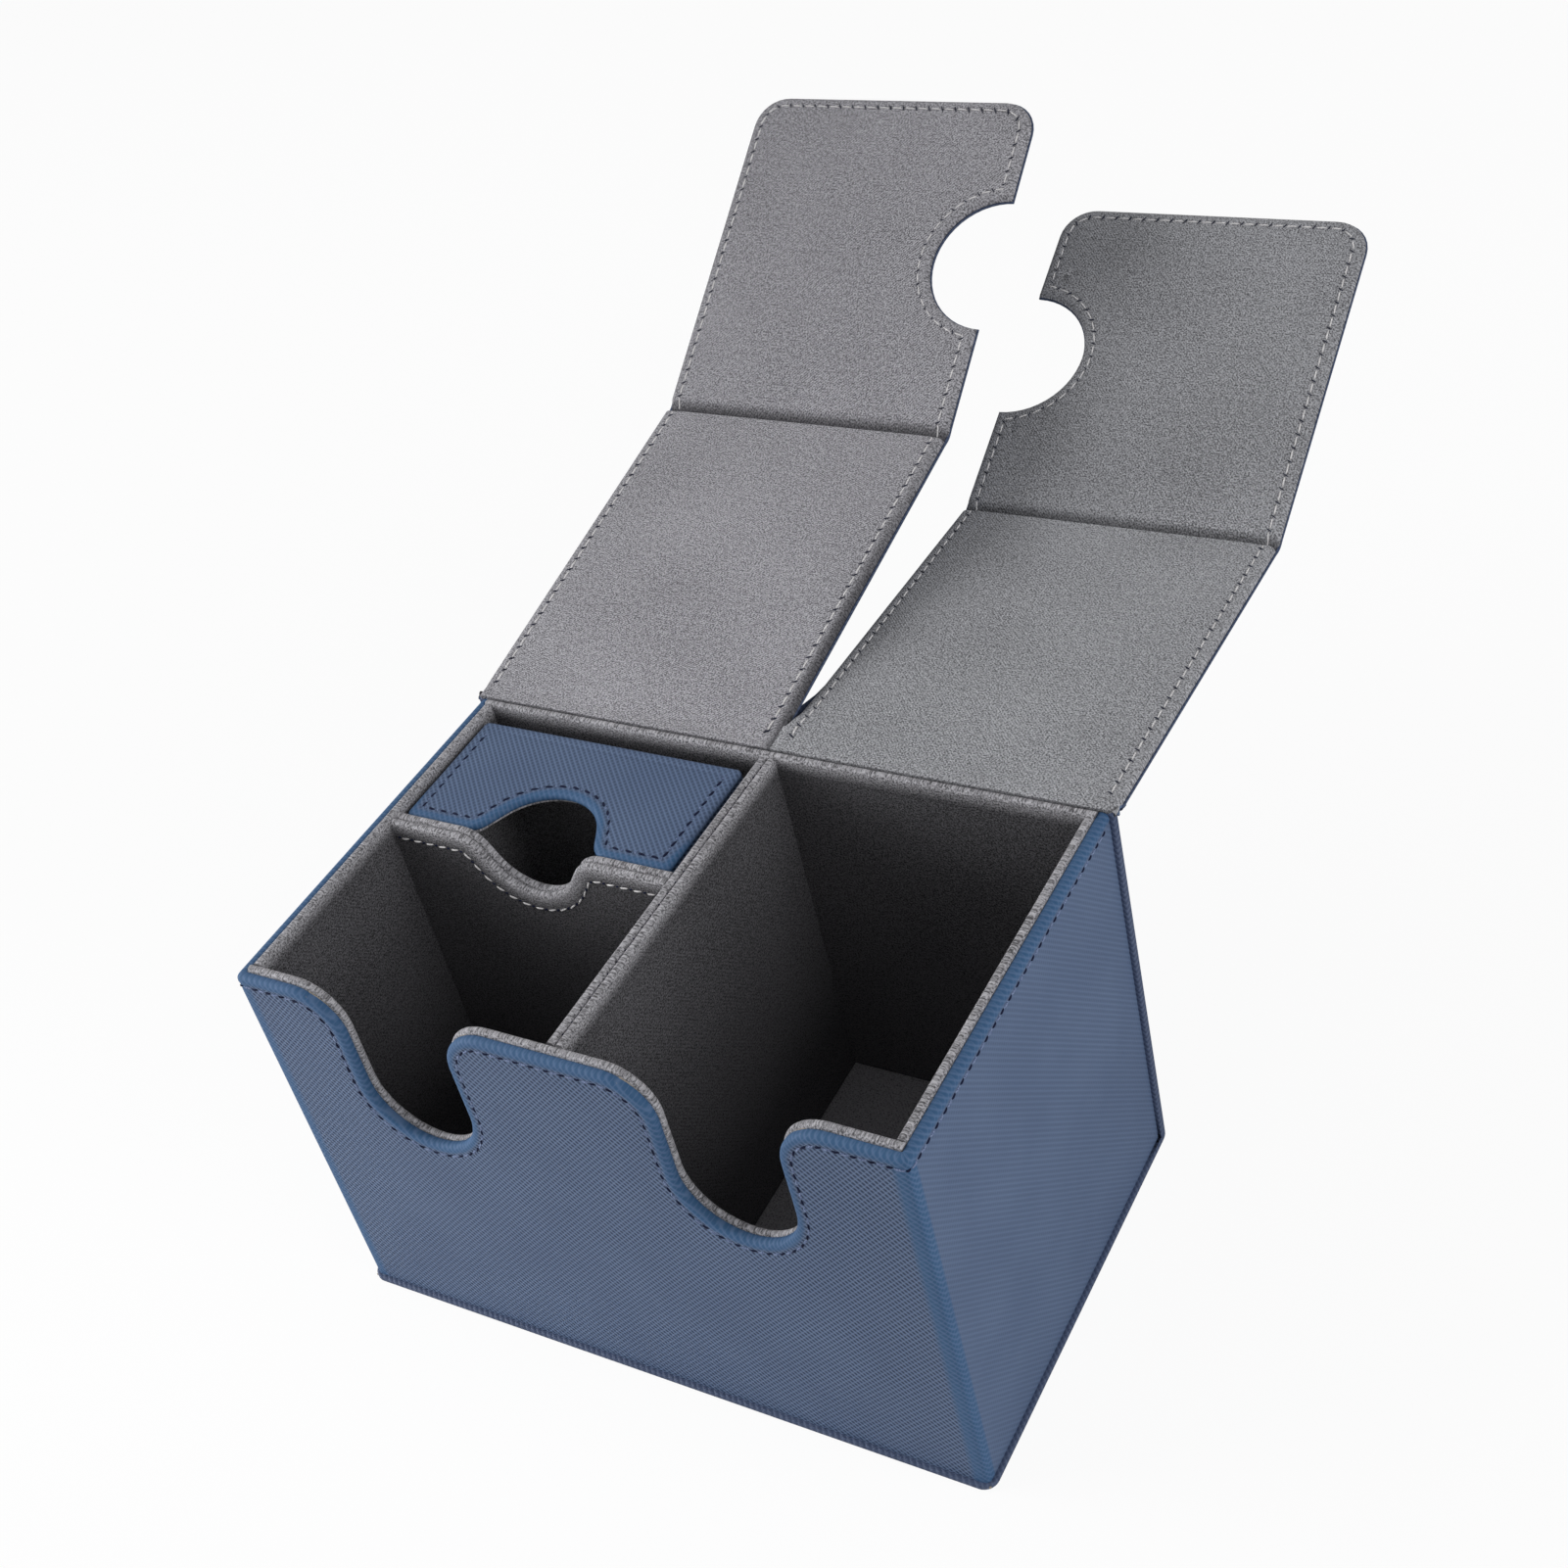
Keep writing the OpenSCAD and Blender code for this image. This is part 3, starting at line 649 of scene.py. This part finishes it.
def makeDividers():
    n = lining
    for name, node, side in (("dividerLeftPly", "divider_left_ply", -1),
                             ("dividerRightPly", "divider_right_ply", 1)):
        x = side * ply["thick"] / 2
        standingBoard(name, n["pocketY"] + ply["gap"], n["backInner"], n["foot"], ply["top"], ply["thick"],
                      lambda s, z, d: (x + side * d, s, z), node, seed=9 + x)
    seam("dividerSeam", [Vector((n["pocketY"] + 2, 0, 0)), Vector((n["backInner"] - 1, 0, 0))],
         lambda s, x, d: (x, s, ply["top"] - ply["seamDown"] + d), plySeam, "case", closed=False)
    for name, node, rank in (("crossFrontPly", "cross_divider_front_ply", 0),
                             ("crossRearPly", "cross_divider_rear_ply", 1)):
        y = ply["crossY"] + ply["thick"] * (0.5 + rank)
        paths = standingBoard(name, -n["innerX"], -ply["thick"], ply["floor"], ply["top"], ply["thick"],
                              lambda s, z, d: (s, y + (d if rank else -d), z), node,
                              lambda shape: shape.waveNotch(ply["bayX"], ply["top"], *ply["wave"]),
                              12 + rank, ply["seamAt"])
        if not rank:
            seam("crossSeam", paths[0], lambda s, z, d: (s, y - d, z), crossStitch, "case",
                 only=lambda p: p.y > 70 and -n["innerX"] + 1 < p.x < -ply["thick"] - 1)


thinBase = Vector((-78.2, -48.2, 0.4)), Vector((78.2, 45.5, 1.2))


def makePad(name, node, low, high, radius, finish, slot):
    bm, face = Outline(low.x, low.y).line(high.x, low.y).line(high.x, high.y).line(low.x, high.y).fill()
    stepIn(bm, face, quarterRound(radius, 3) + [(2, 0), (4, 0)])
    sway(bm, 18, 0.1 if slot == "suede" else 0.0, low.x)
    bothSides(bm)
    rule(bm, "x", spread(low.x, high.x, 12))
    rule(bm, "y", spread(low.y, high.y, 12))
    layFlat(bm)
    for v in bm.verts:
        v[bm.verts.layers.float["rim"]] = 9
    make(name, bm, lambda x, y, z: (x, y, z + (low.z + high.z) / 2), finish, "case", [node])


def makeFloors():
    for name, node in (("leftFloorPad", "left_floor"), ("rightFloorPad", "right_floor")):
        low, high = [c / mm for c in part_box(node)]
        makePad(name, node, low, high, 0.7, floorSuede, "suede")
    makePad("baseBoard", "base_core", *thinBase, 0.4, coreBoard, "board")


makeLinings()
makeDividers()
makeFloors()
print("linings and dividers made")


# The lids: each is a sheet of suede and one of leather that run over the lid,
# the fold and the flap. x runs out from the slit, d away from the hinge, and u
# is the height over the suede of a lid that lies wide open.

lid = {"hingeY": 47.8, "hingeZ": 99.6, "slit": 0.3, "side": 79.3, "middle": 40, "crease": 98.4, "creaseU": -2.2,
       "end": 187.4, "corner": 8.5, "finger": 143.6, "fingerR": 17.2, "thick": 3.4, "curl": -1.95, "curlR": 0.35,
       "lean": {-1: 180 - 169.4, 1: 180 - 182.3}, "fold": {-1: 23.8, 1: 28.6},
       "hingeRun": (-1.0, 3.4), "creaseRun": (-2.6, 2.6), "strip": 6, "step": 8, "past": 9, "shift": 130,
       "beside": 8, "puff": 0.18, "seamAt": 2.7, "seamSunk": -2.05, "sheet": 0.6}
# foldShade, hingeShade, slitShade and nap give how much painted shade goes into the crease, the hinge, beside the
# slit and over each flap
lidCloth = {"u": -1.75, "round": 1.7, "start": -3.2, "grow": 0.0, "sway": 0.3, "sunk": (-3.3, -2.0),
            "foldShade": 0.8, "hingeShade": 0.5, "nap": {-1: 0.05, 1: 0.13}, "slitShade": {-1: 0.75, 1: 0.0}}
lidSkin = {"u": -2.1, "round": 1.3, "start": 1.6, "grow": 0.28, "sway": 0.12, "tongue": 3.2}


def valley(d):  # how far the sheet has sunk into the fold, more crisply on the lid's side
    return ease((d - lid["crease"] + 2.5) / 0.7) * (1 - ease((d - lid["crease"] + 1.0) / 3.8))


def touching(d):  # the two lids lean together where the slit ends
    return 1 - ease((d - 10) / 12)


def oneCloth(d):  # nearer the hinge the suede isn't cut
    return 1 - ease((d - 4.4) / 2.4)


def lidPlace(side):
    lean, fold = math.radians(lid["lean"][side]), math.radians(lid["fold"][side])
    other = math.radians(lid["lean"][-side])

    def swing(y, z, angle, atY, atZ):
        y, z = y - atY, z - atZ
        return atY + y * math.cos(angle) - z * math.sin(angle), atZ + y * math.sin(angle) + z * math.cos(angle)

    def share(d, run):
        return ease((d - run[0]) / (run[1] - run[0]))

    def where(x, d, u):
        y, z = d, u
        if d < lid["curl"]:  # the edge of the strip rolls down over the back
            a = (lid["curl"] - d) / lid["curlR"]
            r = lid["curlR"] + u
            y = lid["curl"] - r * math.sin(min(a, math.pi / 2))
            z = r * math.cos(min(a, math.pi / 2)) - lid["curlR"] - max(0.0, a - math.pi / 2) * lid["curlR"]
        y, z = swing(y, z, fold * share(d - lid["crease"], lid["creaseRun"]), lid["crease"], lid["creaseU"])
        y, z = swing(y, z, lean * share(d, lid["hingeRun"]), 0, 0)
        # near the hinge the two lids are one cloth, so the lower one rises to the other
        near = (1 - ease(x / lid["beside"])) * (1 - ease((d - 4) / 8))
        near *= min(1.0, max(0.0, (u - lidCloth["u"]) / 1.2))
        z += near * max(0.0, d) * max(0.0, math.sin(other) - math.sin(lean))
        return side * x, lid["hingeY"] + y, lid["hingeZ"] + z
    return where


def lidOutline(grow):
    r, near, far = lid["corner"], -lid["past"], lid["end"] + grow
    outer, inner, finger = lid["side"] + grow, lid["slit"] - grow, lid["fingerR"] - grow
    shape = Outline(inner, near).line(outer, near).corner(outer, far, 0, 1, r, 8).corner(inner, far, -1, 0, r, 8)
    shape.line(inner, lid["finger"] + math.sqrt(finger ** 2 - inner ** 2))
    return shape.arc(0, lid["finger"], -2 * math.degrees(math.acos(inner / finger)), arcSteps["u"]).fill()


clothEdge = quarterRound(lidCloth["round"], 6) + [(0.35, 0.03), (0.35, -0.05), (0.3, -0.16), (0.35, 0.14),
                                                  (0.7, 0.08), (1.2, 0.05), (2.0, 0.02)]
skinEdge = quarterRound(lidSkin["round"], 5) + [(0.6, 0.03), (0.5, -0.05), (0.3, -0.14), (0.35, 0.12), (0.8, 0.04)]
# rows of edges lie close together wherever a sheet bends
creaseRows = [lid["crease"] + k for k in (-3.2, -2.8, -2.55, -2.4, -2.25, -2.1, -1.95, -1.8, -1.4, -0.9,
                                          -0.3, 0.3, 0.9, 1.5, 2.1, 2.8, 3.5, 4.2)]
hingeRows = [-2.9, -2.5, -2.39, -2.28, -2.17, -2.06, -1.95, -1.7, -1.3, -0.9, -0.5, 0.0, 0.5, 1.0, 1.6, 2.2,
             2.8, 3.4, 4.6, 6.0, 7.0, 8.0, 9.0, 10.5, 12.0]
lidRows = hingeRows + creaseRows + spread(12, 94, lid["step"]) + spread(103, 187, lid["step"])


def settle(bm, side):  # sinks the suede into the fold, and closes the slit at the hinge
    rim, fold = bm.verts.layers.float["rim"], bm.verts.layers.float["fold"]
    c, thick = lidCloth, lid["thick"]
    low, high = c["sunk"]
    for v in bm.verts:
        x, d, u = v.co
        shade = c["slitShade"][side] if x < lid["beside"] else 0.0
        if x < lid["beside"] + 2:
            x -= lid["slit"] * touching(d) * max(0.0, 1 - v[rim] / 4.0)
            if v[rim] < 2.2:
                drop = math.sqrt(max(0.0, 1 - (1 - min(1.0, v[rim] / c["round"])) ** 2))
                ridge = lid["puff"] * math.exp(-((v[rim] - lid["seamAt"]) / 0.5) ** 2)
                u += oneCloth(d) * (thick / 2 * (1 - drop) + ridge)
        v.co = (x, d, u + valley(d) * (low + (u + thick) / thick * (high - low) - u))
        # the fold mark is painted shade: in the crease, at the hinge, beside the left lid's slit, and a little
        # over each flap, more on the right; lidSuede darkens the suede towards foldShade by it
        v[fold] = max(c["foldShade"] * valley(d), c["hingeShade"] * (1 - ease((d + 2.45) / 0.35)),
                      shade * (1 - ease(v[rim] / 2.8)) * (1 - ease((d - 30) / 90)),
                      c["nap"][side] * ease((d - lid["crease"]) / 8))


def lidSheet(edge, spec, height, seed):
    # an edge stepped in, its hidden half taken off, ruled so that it can bend
    bm, face = lidOutline(spec["grow"])
    bmesh.ops.translate(bm, verts=bm.verts[:], vec=(0, 0, height))
    path = stepIn(bm, face, edge, [lid["seamAt"]])[0]
    sway(bm, 26, spec["sway"], seed)
    bmesh.ops.delete(bm, geom=[f for f in bm.faces if f.normal.z < -0.9], context="FACES_ONLY")
    rule(bm, "y", lidRows)
    rule(bm, "x", spread(lid["slit"], lid["side"], lid["step"]))
    cutAt(bm, (0, spec["start"], 0), (0, -1, 0))
    return bm, path


def makeLid(side):
    word = "left" if side < 0 else "right"
    lidBody, flapBody = word + "_lid", word + "_flap"
    where = lidPlace(side)

    def at(d):
        return tuple(c * mm for c in where(lid["middle"], d, 0))
    hinge = [at(k) for k in lid["hingeRun"]]
    crease = [at(lid["crease"] + k) for k in lid["creaseRun"]]

    # suede, in a sheet and the strip that rolls over the back
    suede = greySuede if side < 0 else rightSuede
    bm, path = lidSheet(clothEdge, lidCloth, lidCloth["u"], side * 4 + 5)
    layFlat(bm, side * lid["shift"])
    bmesh.ops.solidify(bm, geom=bm.faces[:], thickness=lid["sheet"])
    settle(bm, side)
    near = bm.copy()
    trim(bm, (0, lid["strip"], 0), (0, -1, 0))
    sheet = make(word + "LidSuede", bm, where, suede, None, [word + "_lid_lining", word + "_flap_lining"])
    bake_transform(sheet, lidBody, flapBody, *crease)
    trim(near, (0, lid["strip"], 0), (0, 1, 0))
    strip = make(word + "HingeSuede", near, where, suede, None, ["hinge_fold"] if side > 0 else [])
    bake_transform(strip, "case", lidBody, *hinge)

    # leather, on the underside while the lid is open
    def under(x, d, u):
        return where(x, d, lidSkin["u"] - u)
    bm, underPath = lidSheet(skinEdge, lidSkin, 0, side * 3 + 9)
    bmesh.ops.solidify(bm, geom=bm.faces[:], thickness=lid["sheet"])
    rim = bm.verts.layers.float["rim"]
    for v in bm.verts:
        x, d, u = v.co
        if side > 0 and x < 4:  # a tongue of leather runs under the end of the slit
            x -= lidSkin["tongue"] * (1 - ease((d - 17) / 5)) * max(0.0, 1 - v[rim] / lidSkin["round"])
        v.co = (x, d, lidSkin["u"] - u)
    layFlat(bm, side * lid["shift"])
    skin = make(word + "LidLeather", bm, where, wrapLeather, None,
                [word + "_lid_cover", word + "_flap_cover", word + "_crease_fold"])
    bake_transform(skin, lidBody, flapBody, *crease)

    def on(x, d, u):  # a seam follows the suede, also into the fold
        u += lid["puff"] * oneCloth(d) if x < lid["beside"] + 2 else 0.0
        return where(x, d, u + valley(d) * (lid["seamSunk"] - u))

    start = lid["strip"]
    for name, line, place, look, only, ends in (
            ("LidSeam", path, on, paleSeam, lambda p: p.y > start, (lidBody, flapBody, *crease)),
            ("HingeSeam", path, on, paleSeam, lambda p: 1.2 < p.y <= start, ("case", lidBody, *hinge)),
            ("UnderSeam", underPath, under, navySeam, lambda p: p.y > 4, (lidBody, flapBody, *crease))):
        for piece in seam(word + name, line, place, look, only=only):
            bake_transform(piece, *ends)


# The leather spine from the top of the back to a lid's end. Its profile is
# drawn in y and z from the hinge line.
spine = {"profile": ((0.2, -3.0), (0.22, -2.3), (0.4, -2.0), (0.75, -1.85), (1.15, -1.9), (1.5, -2.2),
                     (1.8, -2.6), (2.5, -3.05), (3.6, -3.25)),
         "bend": (0.3, 1.8), "z": 98.4, "sheet": 0.5}


def makeSpine(side):
    word = "left" if side < 0 else "right"
    profile = Outline(*spine["profile"][0])
    for y, z in spine["profile"][1:]:
        profile.line(y, z)
    bm = profile.bm
    rim = bm.verts.layers.float.new("rim")
    uv = bm.loops.layers.uv.new("flat")
    made = bmesh.ops.extrude_edge_only(bm, edges=bm.edges[:])
    far = [g for g in made["geom"] if isinstance(g, bmesh.types.BMVert)]
    bmesh.ops.translate(bm, verts=far, vec=(0, 0, lid["side"]))
    for p in spread(0, lid["side"], lid["step"]) + [lid["side"] - 0.5, 0.5]:
        cutAt(bm, (0, 0, p), (0, 0, 1), False)
    for face in bm.faces:
        for loop in face.loops:
            loop[uv].uv = (loop.vert.co.z * mm, (loop.vert.co.x + loop.vert.co.y) * mm)
    for v in bm.verts:
        v[rim] = 6
    bmesh.ops.recalc_face_normals(bm, faces=bm.faces[:])
    bmesh.ops.solidify(bm, geom=bm.faces[:], thickness=spine["sheet"])
    lean = math.radians(lid["lean"][side])
    low, high = spine["bend"]

    def where(y, z, x):
        turn = lean * ease((y - 0.3) / 1.4)
        return (side * x, lid["hingeY"] + y * math.cos(turn) - z * math.sin(turn),
                lid["hingeZ"] + y * math.sin(turn) + z * math.cos(turn))
    piece = make(word + "Spine", bm, where, blueLeather, None, ["hinge_fold"] if side < 0 else [])
    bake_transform(piece, "case", word + "_lid", (0, (lid["hingeY"] + low) * mm, spine["z"] * mm),
             (0, (lid["hingeY"] + high) * mm, spine["z"] * mm))


for side in (-1, 1):
    makeLid(side)
    makeSpine(side)
print("lids made")


# The drawer: an upright tray in the left bay, with its thumb notch on top

tray = {"left": -72.8, "right": -3.9, "front": 6.7, "back": 39.7, "foot": 3.7, "top": 97.7, "corner": 1.4,
        "board": 2.0, "lining": 1.0, "shy": 3.0, "thumb": (37.3, 14.8, 13.3, 5),
        "liningThumb": (39.3, 15.8, 14.3, 5), "seamAt": 2.9, "fromBack": 3.4, "pressed": 0.45, "step": 9}
topEdge = quarterRound(1.0, 5) + [(0.5, 0.04), (0.5, 0.0), (0.4, -0.04), (0.25, -0.1), (0.25, -0.02),
                                  (0.3, 0.1), (0.6, 0.02)]
shellEdge = quarterRound(1.0, 4) + [(0.5, 0.03), (0.6, 0), (0.4, -0.04), (0.3, -0.1), (0.35, 0.1), (0.7, 0.01)]
liningEdge = quarterRound(0.5, 4) + [(0.5, 0)]


def trayPlate(name, node, z, thick, finish, slot, seed, shy=0.0, thumb=None, edge=None):
    # drawn with its front up, so that the notch is crossed as on a wall; a
    # lining stays shy of the outside and has square corners
    left, right, front, back = tray["left"] + shy, tray["right"] - shy, -tray["front"], shy - tray["back"]
    r = 0 if shy else tray["corner"]
    shape = Outline(left + r, back).corner(right, back, 1, 0, r, 4).corner(right, front, 0, 1, r, 4)
    if thumb:
        shape.waveNotch((left + right) / 2, front, *thumb)
    bm, face = shape.corner(left, front, -1, 0, r, 4).corner(left, back, 0, -1, r, 4).fill()
    paths = stepIn(bm, face, edge or quarterRound(thick / 2, 4) + [(0.6, 0), (1.2, 0)], [tray["seamAt"]])
    rim, fold = bm.verts.layers.float["rim"], bm.verts.layers.float["fold"]
    for v in bm.verts:  # the grooves run on to the rear edge
        v[rim] = max(v[rim], 6 * ease((tray["fromBack"] + back - v.co.y) / 1.2))
        v[fold] = tray["pressed"] if slot == "leather" else 0.0
    if thick > tray["lining"]:
        sway(bm, 20, 0.1, seed)
    bothSides(bm)
    rule(bm, "x", spread(left, right, tray["step"]))
    rule(bm, "y", spread(back, front, tray["step"]))
    layFlat(bm, flip=-1)
    make(name, bm, lambda x, y, d: (x, -y, z + thick / 2 + d), finish, "drawer", [node])
    return paths


def trayWrap(name, nodes, thick, inset, radius, edge, finish, shift):
    # one strip round the left side, the back and the right side
    low, high = tray["foot"] + tray["board"], tray["top"] - tray["board"]
    left, right, back = tray["left"] + inset, tray["right"] - inset, tray["back"] - inset
    side = back - radius - tray["front"]
    turn = radius * math.pi / 2
    rear = right - left - 2 * radius
    total = 2 * side + 2 * turn + rear

    def bend(s, z, depth):
        if s > total / 2:
            x, y, z = bend(total - s, z, depth)
            return left + right - x, y, z
        q = radius + depth - thick / 2
        if s <= side:
            return left + radius - q, tray["front"] + s, z
        if s < side + turn:
            a = (s - side) / radius
            return left + radius - q * math.cos(a), back - radius + q * math.sin(a), z
        return left + radius + s - side - turn, back - radius + q, z

    bm, face = Outline(0, low - 6).line(total, low - 6).line(total, high + 6).line(0, high + 6).fill()
    stepIn(bm, face, edge)
    bothSides(bm)
    trim(bm, (0, low, 0), (0, -1, 0))
    trim(bm, (0, high, 0), (0, 1, 0))
    corners = [c + turn * k / 5 for c in (side, side + turn + rear) for k in range(6)]
    rule(bm, "x", corners + [side - 0.5, total - side + 0.5]
         + spread(side + turn, side + turn + rear, tray["step"])
         + spread(0, side, tray["step"]) + spread(total - side, total, tray["step"]))
    rule(bm, "y", spread(low, high, 10))
    layFlat(bm, shift)
    make(name, bm, bend, finish, "drawer", nodes)


def makeDrawer():
    t = tray
    board, lining = t["board"], t["lining"]
    path = trayPlate("drawerTopBoard", "drawer_top", t["top"] - board, board, blueLeather, "leather", 31,
                     thumb=t["thumb"], edge=topEdge)[0]
    seam("drawerSeam", path, lambda x, y, d: (x, -y, t["top"] - board / 2 + d), trayStitch, "drawer",
         only=lambda p: p.y > t["fromBack"] - t["back"])
    trayPlate("drawerBottomBoard", "drawer_bottom", t["foot"], board, blueLeather, "leather", 33)
    trayWrap("drawerShell", ["drawer_left_side", "drawer_right_side", "drawer_back"],
             board, 0, 1.4, shellEdge, blueLeather, 40)
    trayWrap("drawerLiningShell", ["drawer_left_lining", "drawer_right_lining", "drawer_back_lining"],
             lining, board, 1.0, liningEdge, traySuede, 60)
    trayPlate("drawerTopLiningBoard", "drawer_top_lining", t["top"] - t["shy"], lining, greySuede, "suede", 35,
              t["shy"], t["liningThumb"])
    trayPlate("drawerBottomLiningBoard", "drawer_bottom_lining", t["foot"] + board, lining, traySuede, "suede", 37,
              t["shy"])


makeDrawer()
print("drawer made")


# Inner pieces stay as the solids give them, with their own finishes
for name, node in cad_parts.items():
    finish = coreBoard if "core" in name else plateSteel if "magnet" in name or "plate" in name else None
    if finish:
        node.data.materials.clear()
        node.data.materials.append(finish)
print("inner pieces finished")


# Floor, lamps and camera, in metres

paper = {"size": 4, "colour": (0.85, 0.85, 0.86, 1), "white": 0.93, "z": -0.0002}
sky = {"light": 0.32, "seen": 1.0}
lamps = (("near", (-0.32, -0.2, 0.14), 0.25, 0.17, (-0.07, -0.05, 0.06), 60),
         ("key", (-0.9, -0.1, 0.9), 0.6, 5.3, (0, 0.03, 0.08), 180),
         ("fill", (1.2, -0.1, 0.7), 0.9, 9, (0, 0.03, 0.08), 180))
view = {"lens": 51.967, "sensor": 36, "shift": (0.0093, -0.06055), "at": (0.23586738, -0.25969295, 0.39803106),
        "turn": ((0.86093051, -0.14494898, 0.48763557), (0.46609086, 0.60886025, -0.64191005),
                 (-0.2038577, 0.77992243, 0.59174576))}


def makeFloor():
    bm = bmesh.new()
    bmesh.ops.create_grid(bm, x_segments=1, y_segments=1, size=paper["size"])
    mesh = bpy.data.meshes.new("floor")
    bm.to_mesh(mesh)
    bm.free()
    f = Finish("floorPaper", Roughness=0.9, Specular_IOR_Level=0.1)
    f.shader.inputs["Base Color"].default_value = paper["colour"]
    seen = f.node("ShaderNodeLightPath", {}, {}, 0)  # to the camera the paper is nearly white
    white = f.tree.nodes.new("ShaderNodeEmission")
    white.inputs["Color"].default_value = (1, 1, 1, 1)
    mix = f.tree.nodes.new("ShaderNodeMixShader")
    f.feed(mix.inputs[0], seen * paper["white"])
    f.tree.links.new(f.shader.outputs[0], mix.inputs[1])
    f.tree.links.new(white.outputs[0], mix.inputs[2])
    f.tree.links.new(mix.outputs[0], f.tree.nodes["Material Output"].inputs[0])
    mesh.materials.append(f.material)
    floor = bpy.data.objects.new("floor", mesh)
    floor.location.z = paper["z"]
    bpy.context.scene.collection.objects.link(floor)


def makeWorld():
    world = bpy.data.worlds.new("studio")
    bpy.context.scene.world = world
    world.use_nodes = True
    tree = world.node_tree
    back = tree.nodes["Background"]
    back.inputs["Color"].default_value = (1, 1, 1, 1)
    back.inputs["Strength"].default_value = sky["light"]
    plain = tree.nodes.new("ShaderNodeBackground")
    plain.inputs["Strength"].default_value = sky["seen"]
    plain.inputs["Color"].default_value = (1, 1, 1, 1)
    path = tree.nodes.new("ShaderNodeLightPath")
    mix = tree.nodes.new("ShaderNodeMixShader")
    tree.links.new(path.outputs["Is Camera Ray"], mix.inputs[0])
    tree.links.new(back.outputs[0], mix.inputs[1])
    tree.links.new(plain.outputs[0], mix.inputs[2])
    tree.links.new(mix.outputs[0], tree.nodes["World Output"].inputs[0])


def softbox(name, at, size, power, aim, beam):
    lamp = bpy.data.lights.new(name, "AREA")
    lamp.shape, lamp.size, lamp.energy, lamp.spread = "SQUARE", size, power, math.radians(beam)
    box = bpy.data.objects.new(name, lamp)
    box.location = at
    box.rotation_euler = (Vector(aim) - Vector(at)).to_track_quat("-Z", "Y").to_euler()
    bpy.context.scene.collection.objects.link(box)


def makeCamera():
    lens = bpy.data.cameras.new("camera")
    lens.sensor_fit, lens.sensor_width, lens.lens = "HORIZONTAL", view["sensor"], view["lens"]
    lens.shift_x, lens.shift_y = view["shift"]
    lens.clip_start = 0.01
    camera = bpy.data.objects.new("camera", lens)
    camera.matrix_world = Matrix.Translation(view["at"]) @ Matrix(view["turn"]).to_4x4()
    bpy.context.scene.collection.objects.link(camera)
    bpy.context.scene.camera = camera


makeFloor()
makeWorld()
for lamp in lamps:
    softbox(*lamp)
makeCamera()
bpy.context.scene.view_settings.view_transform = "Standard"
print("stage set")
